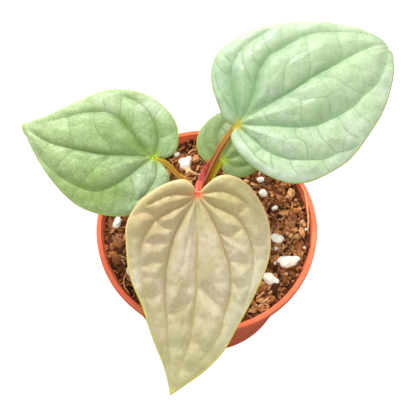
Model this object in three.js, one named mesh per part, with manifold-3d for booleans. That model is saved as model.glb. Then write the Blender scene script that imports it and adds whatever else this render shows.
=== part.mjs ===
// Potted Anthurium luxurians: a young plant with four heart-shaped, quilted leaves in a small plastic pot.
// Millimetres, +Z up. The origin is the middle of the pot's flat underside; the photograph looks along +Y.
import * as THREE from 'three';
import { mergeVertices } from 'three/addons/utils/BufferGeometryUtils.js';
import Module from 'manifold-3d';

const wasm = await Module();
wasm.setup();

// Driving dimensions. Every piece keeps GAP clear of the one it touches.
const GAP = 0.4;
const POT = {
  height: 56, rimRadius: 40, rimWidth: 1.8, rimDepth: 3.2, rimRound: 0.5,
  neckRadius: 38, baseRadius: 30.2, baseRound: 0.8, wall: 1, floor: 2.5,
  cornerWidth: 0.8, neckStep: 0.3,
  recessHeight: 1.2, recessInner: 11, recessOuter: 26.5, recessSlant: 0.6,
  holeCount: 8, holeRadius: 3, holeCircle: 19.5, holeSides: 16, drillLength: 10, segments: 52,
};
const SOIL = {
  top: 52, footHeight: 1.5, footSlant: 1.2, meanDrop: 0.7, rollHeight: 0.35, slantHeight: 0.3,
  edgeDip: 0.9, edgeDipRadius: 36.5, edgeDipWidth: 3,
  lumpCount: 90, lumpReach: 35, lumpHeight: 0.8, lumpWidth: 2.6, rings: 10, segments: 44,
};
// The crown's half profile runs from its base up: [share of the radius, height]
const CROWN = {
  x: -2.7, y: 7.2, base: 45, radius: 5.4, segments: 20,
  profile: [[0, 45], [0.5, 45], [0.7, 49], [0.92, 52.6], [1, 54.6], [0.94, 56], [1, 57.6], [0.92, 59.4],
    [0.5, 60.4], [0, 60.4]],
};
// Roots leave the crown, run outwards to a knee and dive: [turn in degrees, reach of the knee, tip height]
const ROOTS = [[23, 9, 22], [113, 12, 27], [203, 9, 32], [293, 12, 22]];
const ROOT = {
  baseRadius: 1.1, tipRadius: 0.77, start: 0.8, startHeight: 50, shoulder: 0.55, shoulderHeight: 46,
  kneeHeight: 38, tipReach: 3, steps: 6, sides: 6,
};
const SOCKET_FLOOR = 57;
const BLADE_THICKNESS = 0.7;
const QUILT = { height: 0.55, width: 2.6, marginPower: 6 };
// A blade's midrib is walked in hundredths of its length, from before the petiole to past the tip
const WALK = { steps: 100, first: -25, last: 108 };

// The blades. u runs along the midrib from the petiole to the tip and v to the leaf's left.
// place is where the petiole meets the blade; angles are in degrees: heading seen from above, pitch at
// the petiole, bend along the midrib, roll and twist about it, fold up at the midrib, droop to the margin,
// curl of the last stretch from curlStart on. drift is the sideways sweep of the tip.
const BLADES = {
  large: {
    color: 0xb4dcb4, place: [9.6, 11.7, 108.5], length: 58, halfWidth: 28, middle: 6,
    heading: 28.4, pitch: 14.3, bend: -16, roll: 3.6, twist: -2, fold: 2, droop: 15, drift: 0,
    curl: -55, curlStart: 0.86, around: 22, rings: 6,
    left: [[-1, 0.8], [-2.6, 4], [-1.8, 9], [0, 17], [4, 24], [11, 28], [21, 28], [31, 24.5], [41, 18.7],
      [50, 11], [55, 4.5], [58, 0.8]],
    right: [[-1, -0.4], [-3.7, -2], [-4.4, -7], [-3, -13.5], [0.5, -20.5], [6, -26], [14, -28.3],
      [24, -28], [34, -24], [43, -18.7], [51, -11], [55.5, -4.5], [58, 0.8]],
    veins: [
      [[0, 0], [15, 0.3], [30, 0.8], [46, 1], [58, 0.8]],
      [[0, 0.3], [5, 3], [10, 7], [15, 12], [21, 15], [30, 16], [39, 14], [48, 9.5], [55, 3]],
      [[0, 0.5], [3, 8], [7, 16], [11, 21], [18, 23.5], [28, 22], [38, 18]],
      [[0, -0.3], [5, -3.5], [12, -7.5], [17, -12], [23, -14.5], [30, -15], [40, -12], [48, -9], [55, -2]],
      [[0, -0.5], [2, -6], [4, -13], [8, -18.5], [16, -23.5], [26, -24.5], [36, -21]],
      [[18, 0.3], [22, 8], [31, 16]], [[27, 0.8], [34, 15]], [[40, 1], [43, 12.5]],
      [[30, 0.8], [35, -6], [40, -12]], [[19, 0.3], [25, -6], [35, -6]], [[21, -4], [18, -12]],
      [[20, -13.5], [21, -24]], [[28, -15], [32, -23]], [[38, -13], [42, -18]],
    ],
  },
  left: {
    color: 0xa4cf9d, place: [-17.9, 12.9, 84], length: 48.5, halfWidth: 23, middle: 5,
    heading: 174, pitch: 4, bend: -16, roll: -7.3, twist: -2, fold: 0, droop: 9, drift: -9,
    curl: 30, curlStart: 0.9, around: 20, rings: 6,
    left: [[-1, 0.8], [-3.4, 2.4], [-6, 6], [-5.6, 10.5], [-3, 15], [1, 18.7], [7, 21.2], [14, 22],
      [22, 21], [29, 18], [36, 13], [42, 7], [46, 1.2], [48.5, -1.6]],
    right: [[-1.2, -0.4], [-4, -0.8], [-6.8, -3.4], [-7.2, -8.5], [-5.4, -14.5], [-1, -19.6], [5, -23.4],
      [12, -24.8], [20, -23.4], [28, -18], [37, -10], [44, -4.6], [48.5, -1.6]],
    veins: [
      [[0, 0], [16, 1], [33, 1], [48.5, -1.6]],
      [[0, -0.3], [4, -3], [9, -9], [14, -13], [20, -15], [26, -13.5], [34, -9.5], [44, -3.5]],
      [[0, -0.5], [0, -7], [1.5, -13], [6, -18.5], [13, -20.5], [21, -19]],
      [[0, 0.3], [4, 3], [8, 7], [12, 11], [16, 14], [21, 15], [32, 12], [40, 7], [46, 0.5]],
      [[0, 0.5], [0, 7], [3, 13], [9, 17.8], [17, 19]],
      [[28, 1], [31, -11]], [[19, 1], [20, -6], [18, -14.5]], [[15, 1], [21, -7]],
      [[16, 1], [25, 14]], [[29, 1], [36, 9.8]], [[20, 15], [20, 21]], [[12, 11], [10, 18]],
      [[6, 5], [3, 12]],
    ],
  },
  new: {
    color: 0xc4b48a, place: [-3, -3.8, 91], length: 67, halfWidth: 25, middle: 6,
    heading: -95, pitch: -20, bend: -12, roll: 0, twist: 0, fold: 8, droop: 8, drift: -3.5,
    curl: 0, curlStart: 0.9, around: 23, rings: 6,
    left: [[-0.7, 0.8], [-3.2, 2.8], [-6, 6], [-6.8, 10], [-5, 15], [-1, 19.2], [5, 23], [12, 25],
      [20, 25], [30, 22.2], [41, 18], [50, 14.5], [57, 9.8], [62, 5], [67, 0]],
    right: [[-0.9, -0.8], [-3, -2.2], [-4.2, -5], [-3, -9.3], [0, -14.3], [5, -19.2], [12, -22.3],
      [20, -21.6], [29, -19.4], [38, -14.5], [48, -9.5], [57, -4.4], [62.5, -1.8], [67, 0]],
    veins: [
      [[0, 0], [14, 1], [30, 2.5], [47, 2.5], [58, 1.5], [67, 0]],
      [[0, -0.2], [6, -4], [12, -7], [20, -8.3], [30, -8], [40, -6], [50, -4], [59, -1]],
      [[0, 0.2], [7, 4], [13, 8], [20, 12], [29, 13.2], [38, 12.6], [48, 11], [55, 8], [62, 3]],
      [[0, -0.4], [5, -7], [9, -12], [14, -16], [20, -17], [28, -16], [37, -12.5], [46, -8.5]],
      [[0, 0.4], [4, 7], [8, 14], [14, 19], [20, 20.3], [28, 19.8], [38, 17.3], [48, 14]],
      [[0, -0.5], [0.5, -5], [2, -10], [5, -15]], [[0, 0.5], [-1.5, 6], [-0.5, 12], [3, 17]],
      [[33, 2.5], [41, -6]], [[29, 2.5], [38, 12.6]], [[18, -17], [17, -8]], [[25, -16.5], [23, -8.3]],
      [[36, -13.5], [34, -7.5]], [[21, 12.3], [21, 20.3]], [[50, 2.4], [50, -4]], [[48, 2.5], [52, 9.5]],
      [[30, 13.2], [31, 19.6]], [[14, 1], [20, 12]], [[12, 1], [15, -7.7]],
    ],
  },
  small: {
    color: 0x9fc78c, place: [5.5, 16.3, 76], length: 26, halfWidth: 12.5, middle: 3,
    heading: 61.5, pitch: 8, bend: -25, roll: 0, twist: 0, fold: 4, droop: 14, drift: 0,
    curl: 0, curlStart: 0.9, around: 14, rings: 4,
    left: [[-0.7, 0.7], [-2.8, 3], [-2.9, 6], [-1, 9.4], [3, 12.2], [8, 13], [14, 11.7], [19, 8.6],
      [23, 4.6], [26, 0]],
    right: [[-0.8, -0.6], [-3.1, -1.6], [-3.9, -4.4], [-3, -8], [-0.4, -10.9], [3.2, -12.4], [8, -12.7],
      [14, -11], [19, -8], [23, -4.2], [26, 0]],
    veins: [
      [[0, 0], [14, 0.3], [26, 0]],
      [[0, 0.2], [4, 4], [9, 6.6], [15, 6], [22, 2.4]], [[0, 0.3], [0.5, 5], [3.5, 9.2], [9, 10.4]],
      [[0, -0.2], [4, -4], [9, -6.6], [15, -6], [22, -2.4]], [[0, -0.3], [0, -5], [3.2, -9.2], [9, -10.4]],
      [[8, 0], [11, 6.6]], [[9, 0], [13, -6.4]],
    ],
  },
};

// Petiole routes from the socket in the crown to just inside the blade; the blade's plane trims the top.
const PETIOLE_STEPS = 18;
const PETIOLE_SIDES = 8;
const PETIOLES = {
  large: {
    color: 0xa8662c, baseRadius: 1.5, topRadius: 1.15,
    route: [[-2.2, 9.5, SOCKET_FLOOR], [-1.3, 10.7, 66], [0.4, 12.2, 74], [2.5, 13.3, 82],
      [4.7, 13.5, 91], [7.1, 12.9, 100], [9.1, 12, 106.5], [10.5, 12.1, 109.4]],
  },
  left: {
    color: 0xa08c3a, baseRadius: 1.2, topRadius: 0.9,
    route: [[-6.2, 7.9, SOCKET_FLOOR], [-6.6, 10.5, 62], [-7.7, 12.7, 66], [-10.7, 13.3, 71],
      [-12.6, 13.4, 75.5], [-14.1, 13.3, 79.2], [-16.2, 13.1, 82.2], [-18.9, 13, 84]],
  },
  new: {
    color: 0xd0503c, baseRadius: 1.3, topRadius: 1.05,
    route: [[-3, 4.3, SOCKET_FLOOR], [-2.7, 4.9, 68], [-2.6, 4.5, 78], [-2.6, 2.8, 85],
      [-2.8, -0.4, 88.9], [-3.1, -3.5, 90], [-3.2, -6.3, 90.6]],
  },
  small: {
    color: 0xb0a63a, baseRadius: 1.15, topRadius: 0.85,
    route: [[0.7, 7.4, SOCKET_FLOOR], [1, 11.1, 63.5], [2.3, 14, 69.5], [4.2, 15.7, 73.8],
      [6, 17, 76.6]],
  },
};

// Cataphylls: thin lance-shaped sheaths that stand against a petiole, over the stated part of its route.
// facing is the side of the petiole they cover, in degrees seen from above. The width falls to tipShare of
// what it is at the foot, the faster the smaller the power.
const SHEATH = { thickness: 0.7, tipShare: 0.1, widthPower: 1.6 };
const CATAPHYLLS = {
  new: {
    color: 0xe06a58, petiole: 'large', from: 0.08, to: 0.48, facing: 200, halfAngle: 72, flare: 0.7,
    rows: 12, columns: 8,
  },
  dry: {
    color: 0x8a6a30, petiole: 'left', from: 0.2, to: 0.62, facing: 235, halfAngle: 62, flare: 0.9,
    rows: 10, columns: 7,
  },
};

// Loose grains on the mix: [x, y, length, width, height, turn in degrees, twin lump]. The first nine show
// in the photograph; the others lie under the leaves.
const PERLITE = [
  [-8.7, 27.6, 5.2, 5, 4, 20, 1], [-11.6, 31.9, 2.8, 2.2, 2.2, 60, 0], [-33, 2.9, 5.4, 3, 3, 68, 1],
  [20, 20.5, 3, 2.3, 2.2, 10, 0], [20.9, 14.8, 3.6, 3, 2.8, -35, 0], [25.1, 8.6, 3, 1.8, 1.8, 15, 0],
  [25.7, -2.8, 5.4, 3.8, 3.4, -12, 0], [28.9, -12.2, 7.6, 4.6, 4.2, 0, 1], [22.4, -18.8, 5.4, 4, 3.6, -40, 1],
  [-24, 22, 4.6, 3.4, 3, 40, 0], [-27, -15.5, 5, 3.6, 3.2, 80, 1], [-11, -25, 6, 4, 3.6, 10, 0],
  [5.5, -30.5, 4.2, 3.4, 3, -20, 0], [9.5, 31, 4.4, 3, 2.8, 50, 0],
];
// A grain's corners lie between least and least + spread of its size; sunk is the share of its height that
// its middle lies over the mix. An elbow's second lump is a share of the first, set off by shares of it.
const GRAIN = { least: 0.86, spread: 0.22, sunk: 0.18 };
const SECOND_LUMP = { length: 0.5, width: 0.55, height: 0.6, along: 0.42, across: 0.2, up: 0.08 };
// Bark chips: [x, y, length, width, height, turn in degrees, tilt in degrees]
const CHIPS = [
  [-32.4, -4.8, 7, 4.2, 1.5, -38, 9], [31.2, 2.5, 4.6, 3, 1.3, 72, -6], [11, -24.5, 7.4, 4, 1.6, 28, 8],
  [-18.5, 25.5, 6.2, 3.4, 1.3, -50, -8], [1.5, 33.4, 6.2, 3, 1.3, 6, 6], [-17.5, -13.5, 6.8, 4.4, 1.5, 64, 8],
];
const CHIP = { corners: 7, least: 0.8, spread: 0.35, lift: 0.1 };
// Twigs: [x, y, length, radius, turn in degrees]; lifts are the heights of start, middle and end over the mix
const TWIGS = [[19.6, 18, 8, 0.65, 20], [-22.5, -24.5, 10, 0.6, -58]];
const TWIG = { lifts: [0.5, 0.2, 0.8], tipShare: 0.8, steps: 6, sides: 8 };

// Colour and roughness of the pieces that aren't leaves
const FINISHES = {
  pot: [0xc86a4a, 0.45], mix: [0x7a5230, 0.95], stem: [0x8a7a48, 0.8],
  perlite: [0xf4ece0, 0.9], bark: [0xa8744a, 0.9], twig: [0x5a2e20, 0.9],
};
const PETIOLE_ROUGHNESS = 0.4;
const BLADE_ROUGHNESS = 0.5;

const group = new THREE.Group();
const degrees = THREE.MathUtils.degToRad;
const vector = (point) => new THREE.Vector3(...point);

// A repeatable random draw between 0 and 1: each state is the last one times a factor, modulo a prime
function seededRandom(seed) {
  const factor = 16807;
  const prime = 2147483647;
  let state = seed;
  return () => {
    state = (state * factor) % prime;
    return state / prime;
  };
}

// Solids: only positions are kept, so that shared corners merge and the surface closes
function solidOf(geometry) {
  const bare = geometry.clone();
  bare.deleteAttribute('normal');
  bare.deleteAttribute('uv');
  const merged = mergeVertices(bare, 1e-4);
  const index = merged.index.array;
  const corners = [];
  for (let i = 0; i < index.length; i += 3) {
    const [a, b, c] = [index[i], index[i + 1], index[i + 2]];
    if (a !== b && b !== c && c !== a) {
      corners.push(a, b, c);
    }
  }
  return new wasm.Manifold(new wasm.Mesh({
    numProp: 3,
    vertProperties: new Float32Array(merged.attributes.position.array),
    triVerts: new Uint32Array(corners),
  }));
}

function geometryOf(solid) {
  const mesh = solid.getMesh();
  const geometry = new THREE.BufferGeometry();
  geometry.setAttribute('position', new THREE.BufferAttribute(mesh.vertProperties, 3));
  geometry.setIndex(new THREE.BufferAttribute(mesh.triVerts, 1));
  geometry.computeVertexNormals();
  return geometry;
}

function addPiece(name, solid, color, roughness) {
  const material = new THREE.MeshStandardMaterial({ color, roughness, metalness: 0, flatShading: true });
  const mesh = new THREE.Mesh(geometryOf(solid), material);
  mesh.name = name;
  group.add(mesh);
}

// A tube along a route whose radius runs evenly from baseRadius to topRadius
function taperedTube(route, baseRadius, topRadius, steps, sides) {
  const curve = new THREE.CatmullRomCurve3(route.map(vector), false, 'centripetal');
  const section = new THREE.Shape();
  section.absarc(0, 0, 1, 0, 2 * Math.PI);
  const tube = new THREE.ExtrudeGeometry(section, {
    steps, extrudePath: curve, curveSegments: sides / 2, bevelEnabled: false,
  });
  const rings = curve.getSpacedPoints(steps);
  const position = tube.attributes.position;
  const corner = new THREE.Vector3();
  for (let i = 0; i < position.count; i += 1) {
    corner.fromBufferAttribute(position, i);
    let nearest = 0;
    rings.forEach((ring, k) => {
      if (ring.distanceToSquared(corner) < rings[nearest].distanceToSquared(corner)) {
        nearest = k;
      }
    });
    const radius = THREE.MathUtils.lerp(baseRadius, topRadius, nearest / steps);
    corner.sub(rings[nearest]).multiplyScalar(radius).add(rings[nearest]);
    position.setXYZ(i, corner.x, corner.y, corner.z);
  }
  return solidOf(tube);
}

// A thin solid from a sheet: both faces are split into triangles alike, and a wall closes the edge loop.
// Triangles wind anticlockwise and the loop runs anticlockwise, seen from the side the normals point to.
function thickened(points, normals, triangles, loop, thickness) {
  const corners = [];
  [0.5, -0.5].forEach((side) => {
    points.forEach((point, i) => corners.push(...point.clone().addScaledVector(normals[i], side * thickness)));
  });
  const under = points.length;
  const index = [];
  triangles.forEach(([a, b, c]) => index.push(a, b, c, a + under, c + under, b + under));
  loop.forEach((a, i) => {
    const b = loop[(i + 1) % loop.length];
    index.push(a, a + under, b + under, a, b + under, b);
  });
  const geometry = new THREE.BufferGeometry();
  geometry.setAttribute('position', new THREE.Float32BufferAttribute(corners, 3));
  geometry.setIndex(index);
  return solidOf(geometry);
}

// Blade surface: the midrib is walked in small equal steps, then each point is set out sideways from it
function bladeSurface(leaf) {
  const { steps, first, last } = WALK;
  const step = leaf.length / steps;
  const walk = [];
  let along = 0;
  let rise = 0;
  const angleAt = (t) => degrees(leaf.pitch + leaf.bend * t)
    + degrees(leaf.curl) * Math.max(0, (t - leaf.curlStart) / (1 - leaf.curlStart)) ** 2;
  for (let k = first; k <= last; k += 1) {
    walk.push([along, rise]);
    const angle = angleAt((k + 0.5) / steps);
    along += Math.cos(angle) * step;
    rise += Math.sin(angle) * step;
  }
  const origin = walk[-first];
  const heading = new THREE.Vector3(Math.cos(degrees(leaf.heading)), Math.sin(degrees(leaf.heading)), 0);
  const sideways = new THREE.Vector3(-heading.y, heading.x, 0);
  const up = new THREE.Vector3(0, 0, 1);
  const foldAngle = degrees(leaf.fold);
  const droopRate = -degrees(leaf.droop) / leaf.halfWidth;
  return (u, v, lift) => {
    const t = u / leaf.length;
    const place = THREE.MathUtils.clamp(t * steps - first, 0, walk.length - 1.001);
    const k = Math.floor(place);
    const [x0, z0] = walk[k];
    const [x1, z1] = walk[k + 1];
    const x = THREE.MathUtils.lerp(x0, x1, place - k) - origin[0];
    const z = THREE.MathUtils.lerp(z0, z1, place - k) - origin[1];
    const angle = angleAt(t);
    const tilt = degrees(leaf.roll + leaf.twist * t);
    const normal = heading.clone().multiplyScalar(-Math.sin(angle)).addScaledVector(up, Math.cos(angle));
    const across = sideways.clone().multiplyScalar(Math.cos(tilt)).addScaledVector(normal, Math.sin(tilt));
    const over = normal.clone().multiplyScalar(Math.cos(tilt)).addScaledVector(sideways, -Math.sin(tilt));
    const slope = foldAngle + droopRate * Math.abs(v);
    const out = Math.sign(v) * (Math.sin(slope) - Math.sin(foldAngle)) / droopRate
      + leaf.drift * Math.max(0, t) ** 3;
    const raised = (Math.cos(foldAngle) - Math.cos(slope)) / droopRate + lift;
    return vector(leaf.place).addScaledVector(heading, x).addScaledVector(up, z)
      .addScaledVector(across, out).addScaledVector(over, raised);
  };
}

// Normal of the blade without its cushions, so that the thickness is even
function bladeNormal(surface, u, v) {
  const d = 0.05;
  const along = surface(u + d, v, 0).sub(surface(u - d, v, 0));
  const across = surface(u, v + d, 0).sub(surface(u, v - d, 0));
  return along.cross(across).normalize();
}

function distanceToVeins(leaf, u, v) {
  const point = new THREE.Vector3(u, v, 0);
  const closest = new THREE.Vector3();
  let nearest = Infinity;
  leaf.veins.forEach((vein) => {
    for (let i = 0; i + 1 < vein.length; i += 1) {
      const piece = new THREE.Line3(new THREE.Vector3(...vein[i], 0), new THREE.Vector3(...vein[i + 1], 0));
      piece.closestPointToPoint(point, true, closest);
      nearest = Math.min(nearest, closest.distanceTo(point));
    }
  });
  return nearest;
}

// Between the sunken veins the blade swells up in cushions, which flatten out towards the margin
function makeBlade(leaf) {
  const surface = bladeSurface(leaf);
  const side = (outline) => new THREE.SplineCurve(outline.map((p) => new THREE.Vector2(...p)))
    .getSpacedPoints(leaf.around);
  const right = side(leaf.right);
  const left = side(leaf.left).reverse();
  const outline = [...right, ...left.slice(1)];
  const middle = new THREE.Vector2(leaf.middle, 0);
  const points = [];
  const normals = [];
  const place = (spot, share) => {
    const cushion = 1 - Math.exp(-((distanceToVeins(leaf, spot.x, spot.y) / QUILT.width) ** 2));
    const lift = QUILT.height * cushion * (1 - share ** QUILT.marginPower);
    points.push(surface(spot.x, spot.y, lift));
    normals.push(bladeNormal(surface, spot.x, spot.y));
  };
  place(middle, 0);
  for (let ring = 1; ring <= leaf.rings; ring += 1) {
    const share = ring / leaf.rings;
    outline.forEach((edge) => place(middle.clone().lerp(edge, share), share));
  }
  const count = outline.length;
  const at = (ring, i) => 1 + (ring - 1) * count + (i % count);
  const triangles = [];
  for (let i = 0; i < count; i += 1) {
    triangles.push([0, at(1, i), at(1, i + 1)]);
    for (let ring = 1; ring < leaf.rings; ring += 1) {
      triangles.push([at(ring, i), at(ring + 1, i), at(ring + 1, i + 1)]);
      triangles.push([at(ring, i), at(ring + 1, i + 1), at(ring, i + 1)]);
    }
  }
  const loop = outline.map((edge, i) => at(leaf.rings, i));
  return thickened(points, normals, triangles, loop, BLADE_THICKNESS);
}

// The petiole ends just below the blade: a block set on the blade's plane trims it there
function trimAtBlade(petiole, leaf) {
  const surface = bladeSurface(leaf);
  const normal = bladeNormal(surface, 0, 0);
  const along = surface(0.5, 0, 0).sub(surface(-0.5, 0, 0)).normalize();
  const across = normal.clone().cross(along);
  const blockSize = 24;
  const block = new THREE.BoxGeometry(blockSize, blockSize, blockSize);
  block.translate(0, 0, blockSize / 2 - BLADE_THICKNESS / 2 - GAP);
  block.applyMatrix4(new THREE.Matrix4().makeBasis(along, across, normal).setPosition(surface(0, 0, 0)));
  return petiole.subtract(solidOf(block));
}

// extra widens a petiole all round and deepens its foot, for the socket it stands in
function petioleTube(name, extra = 0) {
  const { route, baseRadius, topRadius } = PETIOLES[name];
  const lowered = route.map(([x, y, z], i) => [x, y, i === 0 ? z - extra : z]);
  return taperedTube(lowered, baseRadius + extra, topRadius + extra, PETIOLE_STEPS, PETIOLE_SIDES);
}

// A cataphyll follows its petiole at a small distance and narrows to a point at the top
function makeCataphyll({ petiole, from, to, facing, halfAngle, flare, rows, columns }) {
  const { route, baseRadius, topRadius } = PETIOLES[petiole];
  const curve = new THREE.CatmullRomCurve3(route.map(vector), false, 'centripetal');
  const points = [];
  const normals = [];
  for (let row = 0; row <= rows; row += 1) {
    const share = row / rows;
    const t = THREE.MathUtils.lerp(from, to, share);
    const centre = curve.getPointAt(t);
    const tangent = curve.getTangentAt(t);
    const front = new THREE.Vector3(Math.cos(degrees(facing)), Math.sin(degrees(facing)), 0);
    front.addScaledVector(tangent, -front.dot(tangent)).normalize();
    const beside = tangent.clone().cross(front);
    const spread = degrees(halfAngle) * Math.max(SHEATH.tipShare, 1 - share ** SHEATH.widthPower);
    const petioleRadius = THREE.MathUtils.lerp(baseRadius, topRadius, t);
    const radius = petioleRadius + GAP + flare * (1 - share) ** 2 + SHEATH.thickness / 2;
    for (let column = 0; column <= columns; column += 1) {
      const turn = THREE.MathUtils.lerp(-spread, spread, column / columns);
      const outward = front.clone().multiplyScalar(Math.cos(turn)).addScaledVector(beside, Math.sin(turn));
      points.push(centre.clone().addScaledVector(outward, radius));
      normals.push(outward);
    }
  }
  const at = (row, column) => row * (columns + 1) + column;
  const triangles = [];
  for (let row = 0; row < rows; row += 1) {
    for (let column = 0; column < columns; column += 1) {
      triangles.push([at(row, column), at(row, column + 1), at(row + 1, column + 1)]);
      triangles.push([at(row, column), at(row + 1, column + 1), at(row + 1, column)]);
    }
  }
  const loop = [];
  for (let column = 0; column < columns; column += 1) {
    loop.push(at(0, column));
  }
  for (let row = 0; row < rows; row += 1) {
    loop.push(at(row, columns));
  }
  for (let column = columns; column > 0; column -= 1) {
    loop.push(at(rows, column));
  }
  for (let row = rows; row > 0; row -= 1) {
    loop.push(at(row, 0));
  }
  return thickened(points, normals, triangles, loop, SHEATH.thickness);
}

// Pot: one turned wall with a lip, a flat foot ring and middle, and round drain holes in the raised band
function innerRadiusAt(z) {
  const neckHeight = POT.height - POT.rimDepth;
  return THREE.MathUtils.lerp(POT.baseRadius, POT.neckRadius, z / neckHeight) - POT.wall;
}

function makePot() {
  const { height, rimRadius, rimWidth, rimDepth, rimRound, baseRadius, baseRound, neckStep } = POT;
  const { recessInner, recessOuter, recessSlant, recessHeight, floor, cornerWidth } = POT;
  const neck = height - rimDepth;
  const profile = [
    [0, 0], [recessInner, 0], [recessInner + recessSlant, recessHeight],
    [recessOuter - recessSlant, recessHeight], [recessOuter, 0], [baseRadius - baseRound, 0],
    [baseRadius, baseRound], [POT.neckRadius, neck - neckStep], [rimRadius - rimRound, neck],
    [rimRadius, neck + rimRound], [rimRadius, height - rimRound], [rimRadius - rimRound, height],
    [rimRadius - rimWidth + rimRound, height], [rimRadius - rimWidth, height - rimRound],
    [innerRadiusAt(neck), neck - neckStep], [innerRadiusAt(floor + cornerWidth), floor + cornerWidth],
    [innerRadiusAt(floor) - cornerWidth, floor], [0, floor],
  ].map(([r, z]) => new THREE.Vector2(r, z));
  const turned = new THREE.LatheGeometry(profile, POT.segments);
  turned.rotateX(Math.PI / 2);
  let pot = solidOf(turned);
  const drill = new THREE.CylinderGeometry(POT.holeRadius, POT.holeRadius, POT.drillLength, POT.holeSides);
  drill.rotateX(Math.PI / 2);
  for (let i = 0; i < POT.holeCount; i += 1) {
    const turn = (2 * Math.PI * i) / POT.holeCount;
    const hole = drill.clone().translate(POT.holeCircle * Math.cos(turn), POT.holeCircle * Math.sin(turn), 0);
    pot = pot.subtract(solidOf(hole));
  }
  return pot;
}

// Lumps scattered over the mix: each is a small round hill on a gently rolling surface
const SOIL_SEED = 83;
const random = seededRandom(SOIL_SEED);
const lumps = Array.from({ length: SOIL.lumpCount }, () => {
  const radius = SOIL.lumpReach * Math.sqrt(random());
  const turn = 2 * Math.PI * random();
  const tall = 0.3 + random();
  const wide = 0.6 + 0.7 * random();
  return [radius * Math.cos(turn), radius * Math.sin(turn), tall, wide];
});

function soilHeight(x, y) {
  const waves = SOIL.rollHeight * Math.sin(x / 7 + 1) * Math.cos(y / 6);
  const slant = SOIL.slantHeight * Math.sin((x + y) / 4);
  const hills = lumps.reduce((sum, [cx, cy, tall, wide]) => {
    const distance = Math.hypot(x - cx, y - cy) / (SOIL.lumpWidth * wide);
    return sum + SOIL.lumpHeight * tall * Math.exp(-(distance ** 2));
  }, 0);
  const beyond = (Math.hypot(x, y) - SOIL.edgeDipRadius) / SOIL.edgeDipWidth;
  const edge = SOIL.edgeDip * Math.exp(-(beyond ** 2));
  return SOIL.top - SOIL.meanDrop + waves + slant + hills - edge;
}

function makeSoil() {
  const edgeRadius = innerRadiusAt(SOIL.top) - GAP;
  const footTop = POT.floor + SOIL.footHeight;
  const footRadius = innerRadiusAt(footTop) - GAP;
  const bottom = POT.floor + GAP;
  const profile = [[0, bottom], [footRadius - SOIL.footSlant, bottom], [footRadius, footTop]];
  for (let ring = 0; ring <= SOIL.rings; ring += 1) {
    profile.push([edgeRadius * (1 - ring / SOIL.rings), SOIL.top]);
  }
  const body = new THREE.LatheGeometry(profile.map(([r, z]) => new THREE.Vector2(r, z)), SOIL.segments);
  body.rotateX(Math.PI / 2);
  const position = body.attributes.position;
  for (let i = 0; i < position.count; i += 1) {
    if (position.getZ(i) > SOIL.top - 1) {
      position.setZ(i, soilHeight(position.getX(i), position.getY(i)));
    }
  }
  return solidOf(body);
}

// Stem: a short ringed crown with roots that spread and dive in the mix. extra widens all of it and
// lengthens its lower ends, for the hole in the mix.
function makeStem(extra = 0) {
  const { x, y, base, radius, segments } = CROWN;
  const profile = CROWN.profile.map(([share, z]) => new THREE.Vector2(
    share > 0 ? share * radius + extra : 0,
    z === base ? z - extra : z,
  ));
  const body = new THREE.LatheGeometry(profile, segments);
  body.rotateX(Math.PI / 2);
  body.translate(x, y, 0);
  let stem = solidOf(body);
  ROOTS.forEach(([turn, reach, tipHeight]) => {
    const cos = Math.cos(degrees(turn));
    const sin = Math.sin(degrees(turn));
    const along = (distance, z) => [x + distance * cos, y + distance * sin, z];
    const route = [
      along(ROOT.start, ROOT.startHeight),
      along(reach * ROOT.shoulder, ROOT.shoulderHeight),
      along(reach, ROOT.kneeHeight),
      along(reach + ROOT.tipReach, tipHeight - extra),
    ];
    const [thick, thin] = [ROOT.baseRadius + extra, ROOT.tipRadius + extra];
    stem = stem.add(taperedTube(route, thick, thin, ROOT.steps, ROOT.sides));
  });
  return stem;
}

// A grain: an icosahedron with uneven corners, stretched to size; a twin lump makes an elbow
function grainSolid([x, y, length, width, height, turn, twin], number, extra = 0) {
  const draw = seededRandom(100 + number);
  const lump = (sizes, offset) => {
    const ball = new THREE.IcosahedronGeometry(1, 1);
    const merged = mergeVertices(ball.deleteAttribute('normal').deleteAttribute('uv'), 1e-4);
    const position = merged.attributes.position;
    for (let i = 0; i < position.count; i += 1) {
      const swell = GRAIN.least + GRAIN.spread * draw();
      position.setXYZ(i, position.getX(i) * swell, position.getY(i) * swell, position.getZ(i) * swell);
    }
    merged.scale(...sizes.map((size) => size / 2 + extra));
    merged.translate(...offset);
    return solidOf(merged);
  };
  let grain = lump([length, width, height], [0, 0, 0]);
  if (twin) {
    const sizes = [length * SECOND_LUMP.length, width * SECOND_LUMP.width, height * SECOND_LUMP.height];
    const offset = [length * SECOND_LUMP.along, width * SECOND_LUMP.across, height * SECOND_LUMP.up];
    grain = grain.add(lump(sizes, offset));
  }
  return grain.rotate([0, 0, turn]).translate([x, y, soilHeight(x, y) + height * GRAIN.sunk]);
}

// A bark chip: a thin slab with an uneven seven-cornered outline
function chipSolid([x, y, length, width, height, turn, tilt], number, extra = 0) {
  const draw = seededRandom(200 + number);
  const outline = new THREE.Shape();
  for (let i = 0; i < CHIP.corners; i += 1) {
    const angle = (2 * Math.PI * i) / CHIP.corners;
    const swell = CHIP.least + CHIP.spread * draw();
    const px = (length / 2 * swell + extra) * Math.cos(angle);
    const py = (width / 2 * swell + extra) * Math.sin(angle);
    if (i === 0) {
      outline.moveTo(px, py);
    } else {
      outline.lineTo(px, py);
    }
  }
  outline.closePath();
  const slab = new THREE.ExtrudeGeometry(outline, { depth: height + 2 * extra, bevelEnabled: false });
  slab.translate(0, 0, -height / 2 - extra);
  return solidOf(slab).rotate([tilt, tilt / 2, turn]).translate([x, y, soilHeight(x, y) + height * CHIP.lift]);
}

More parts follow.
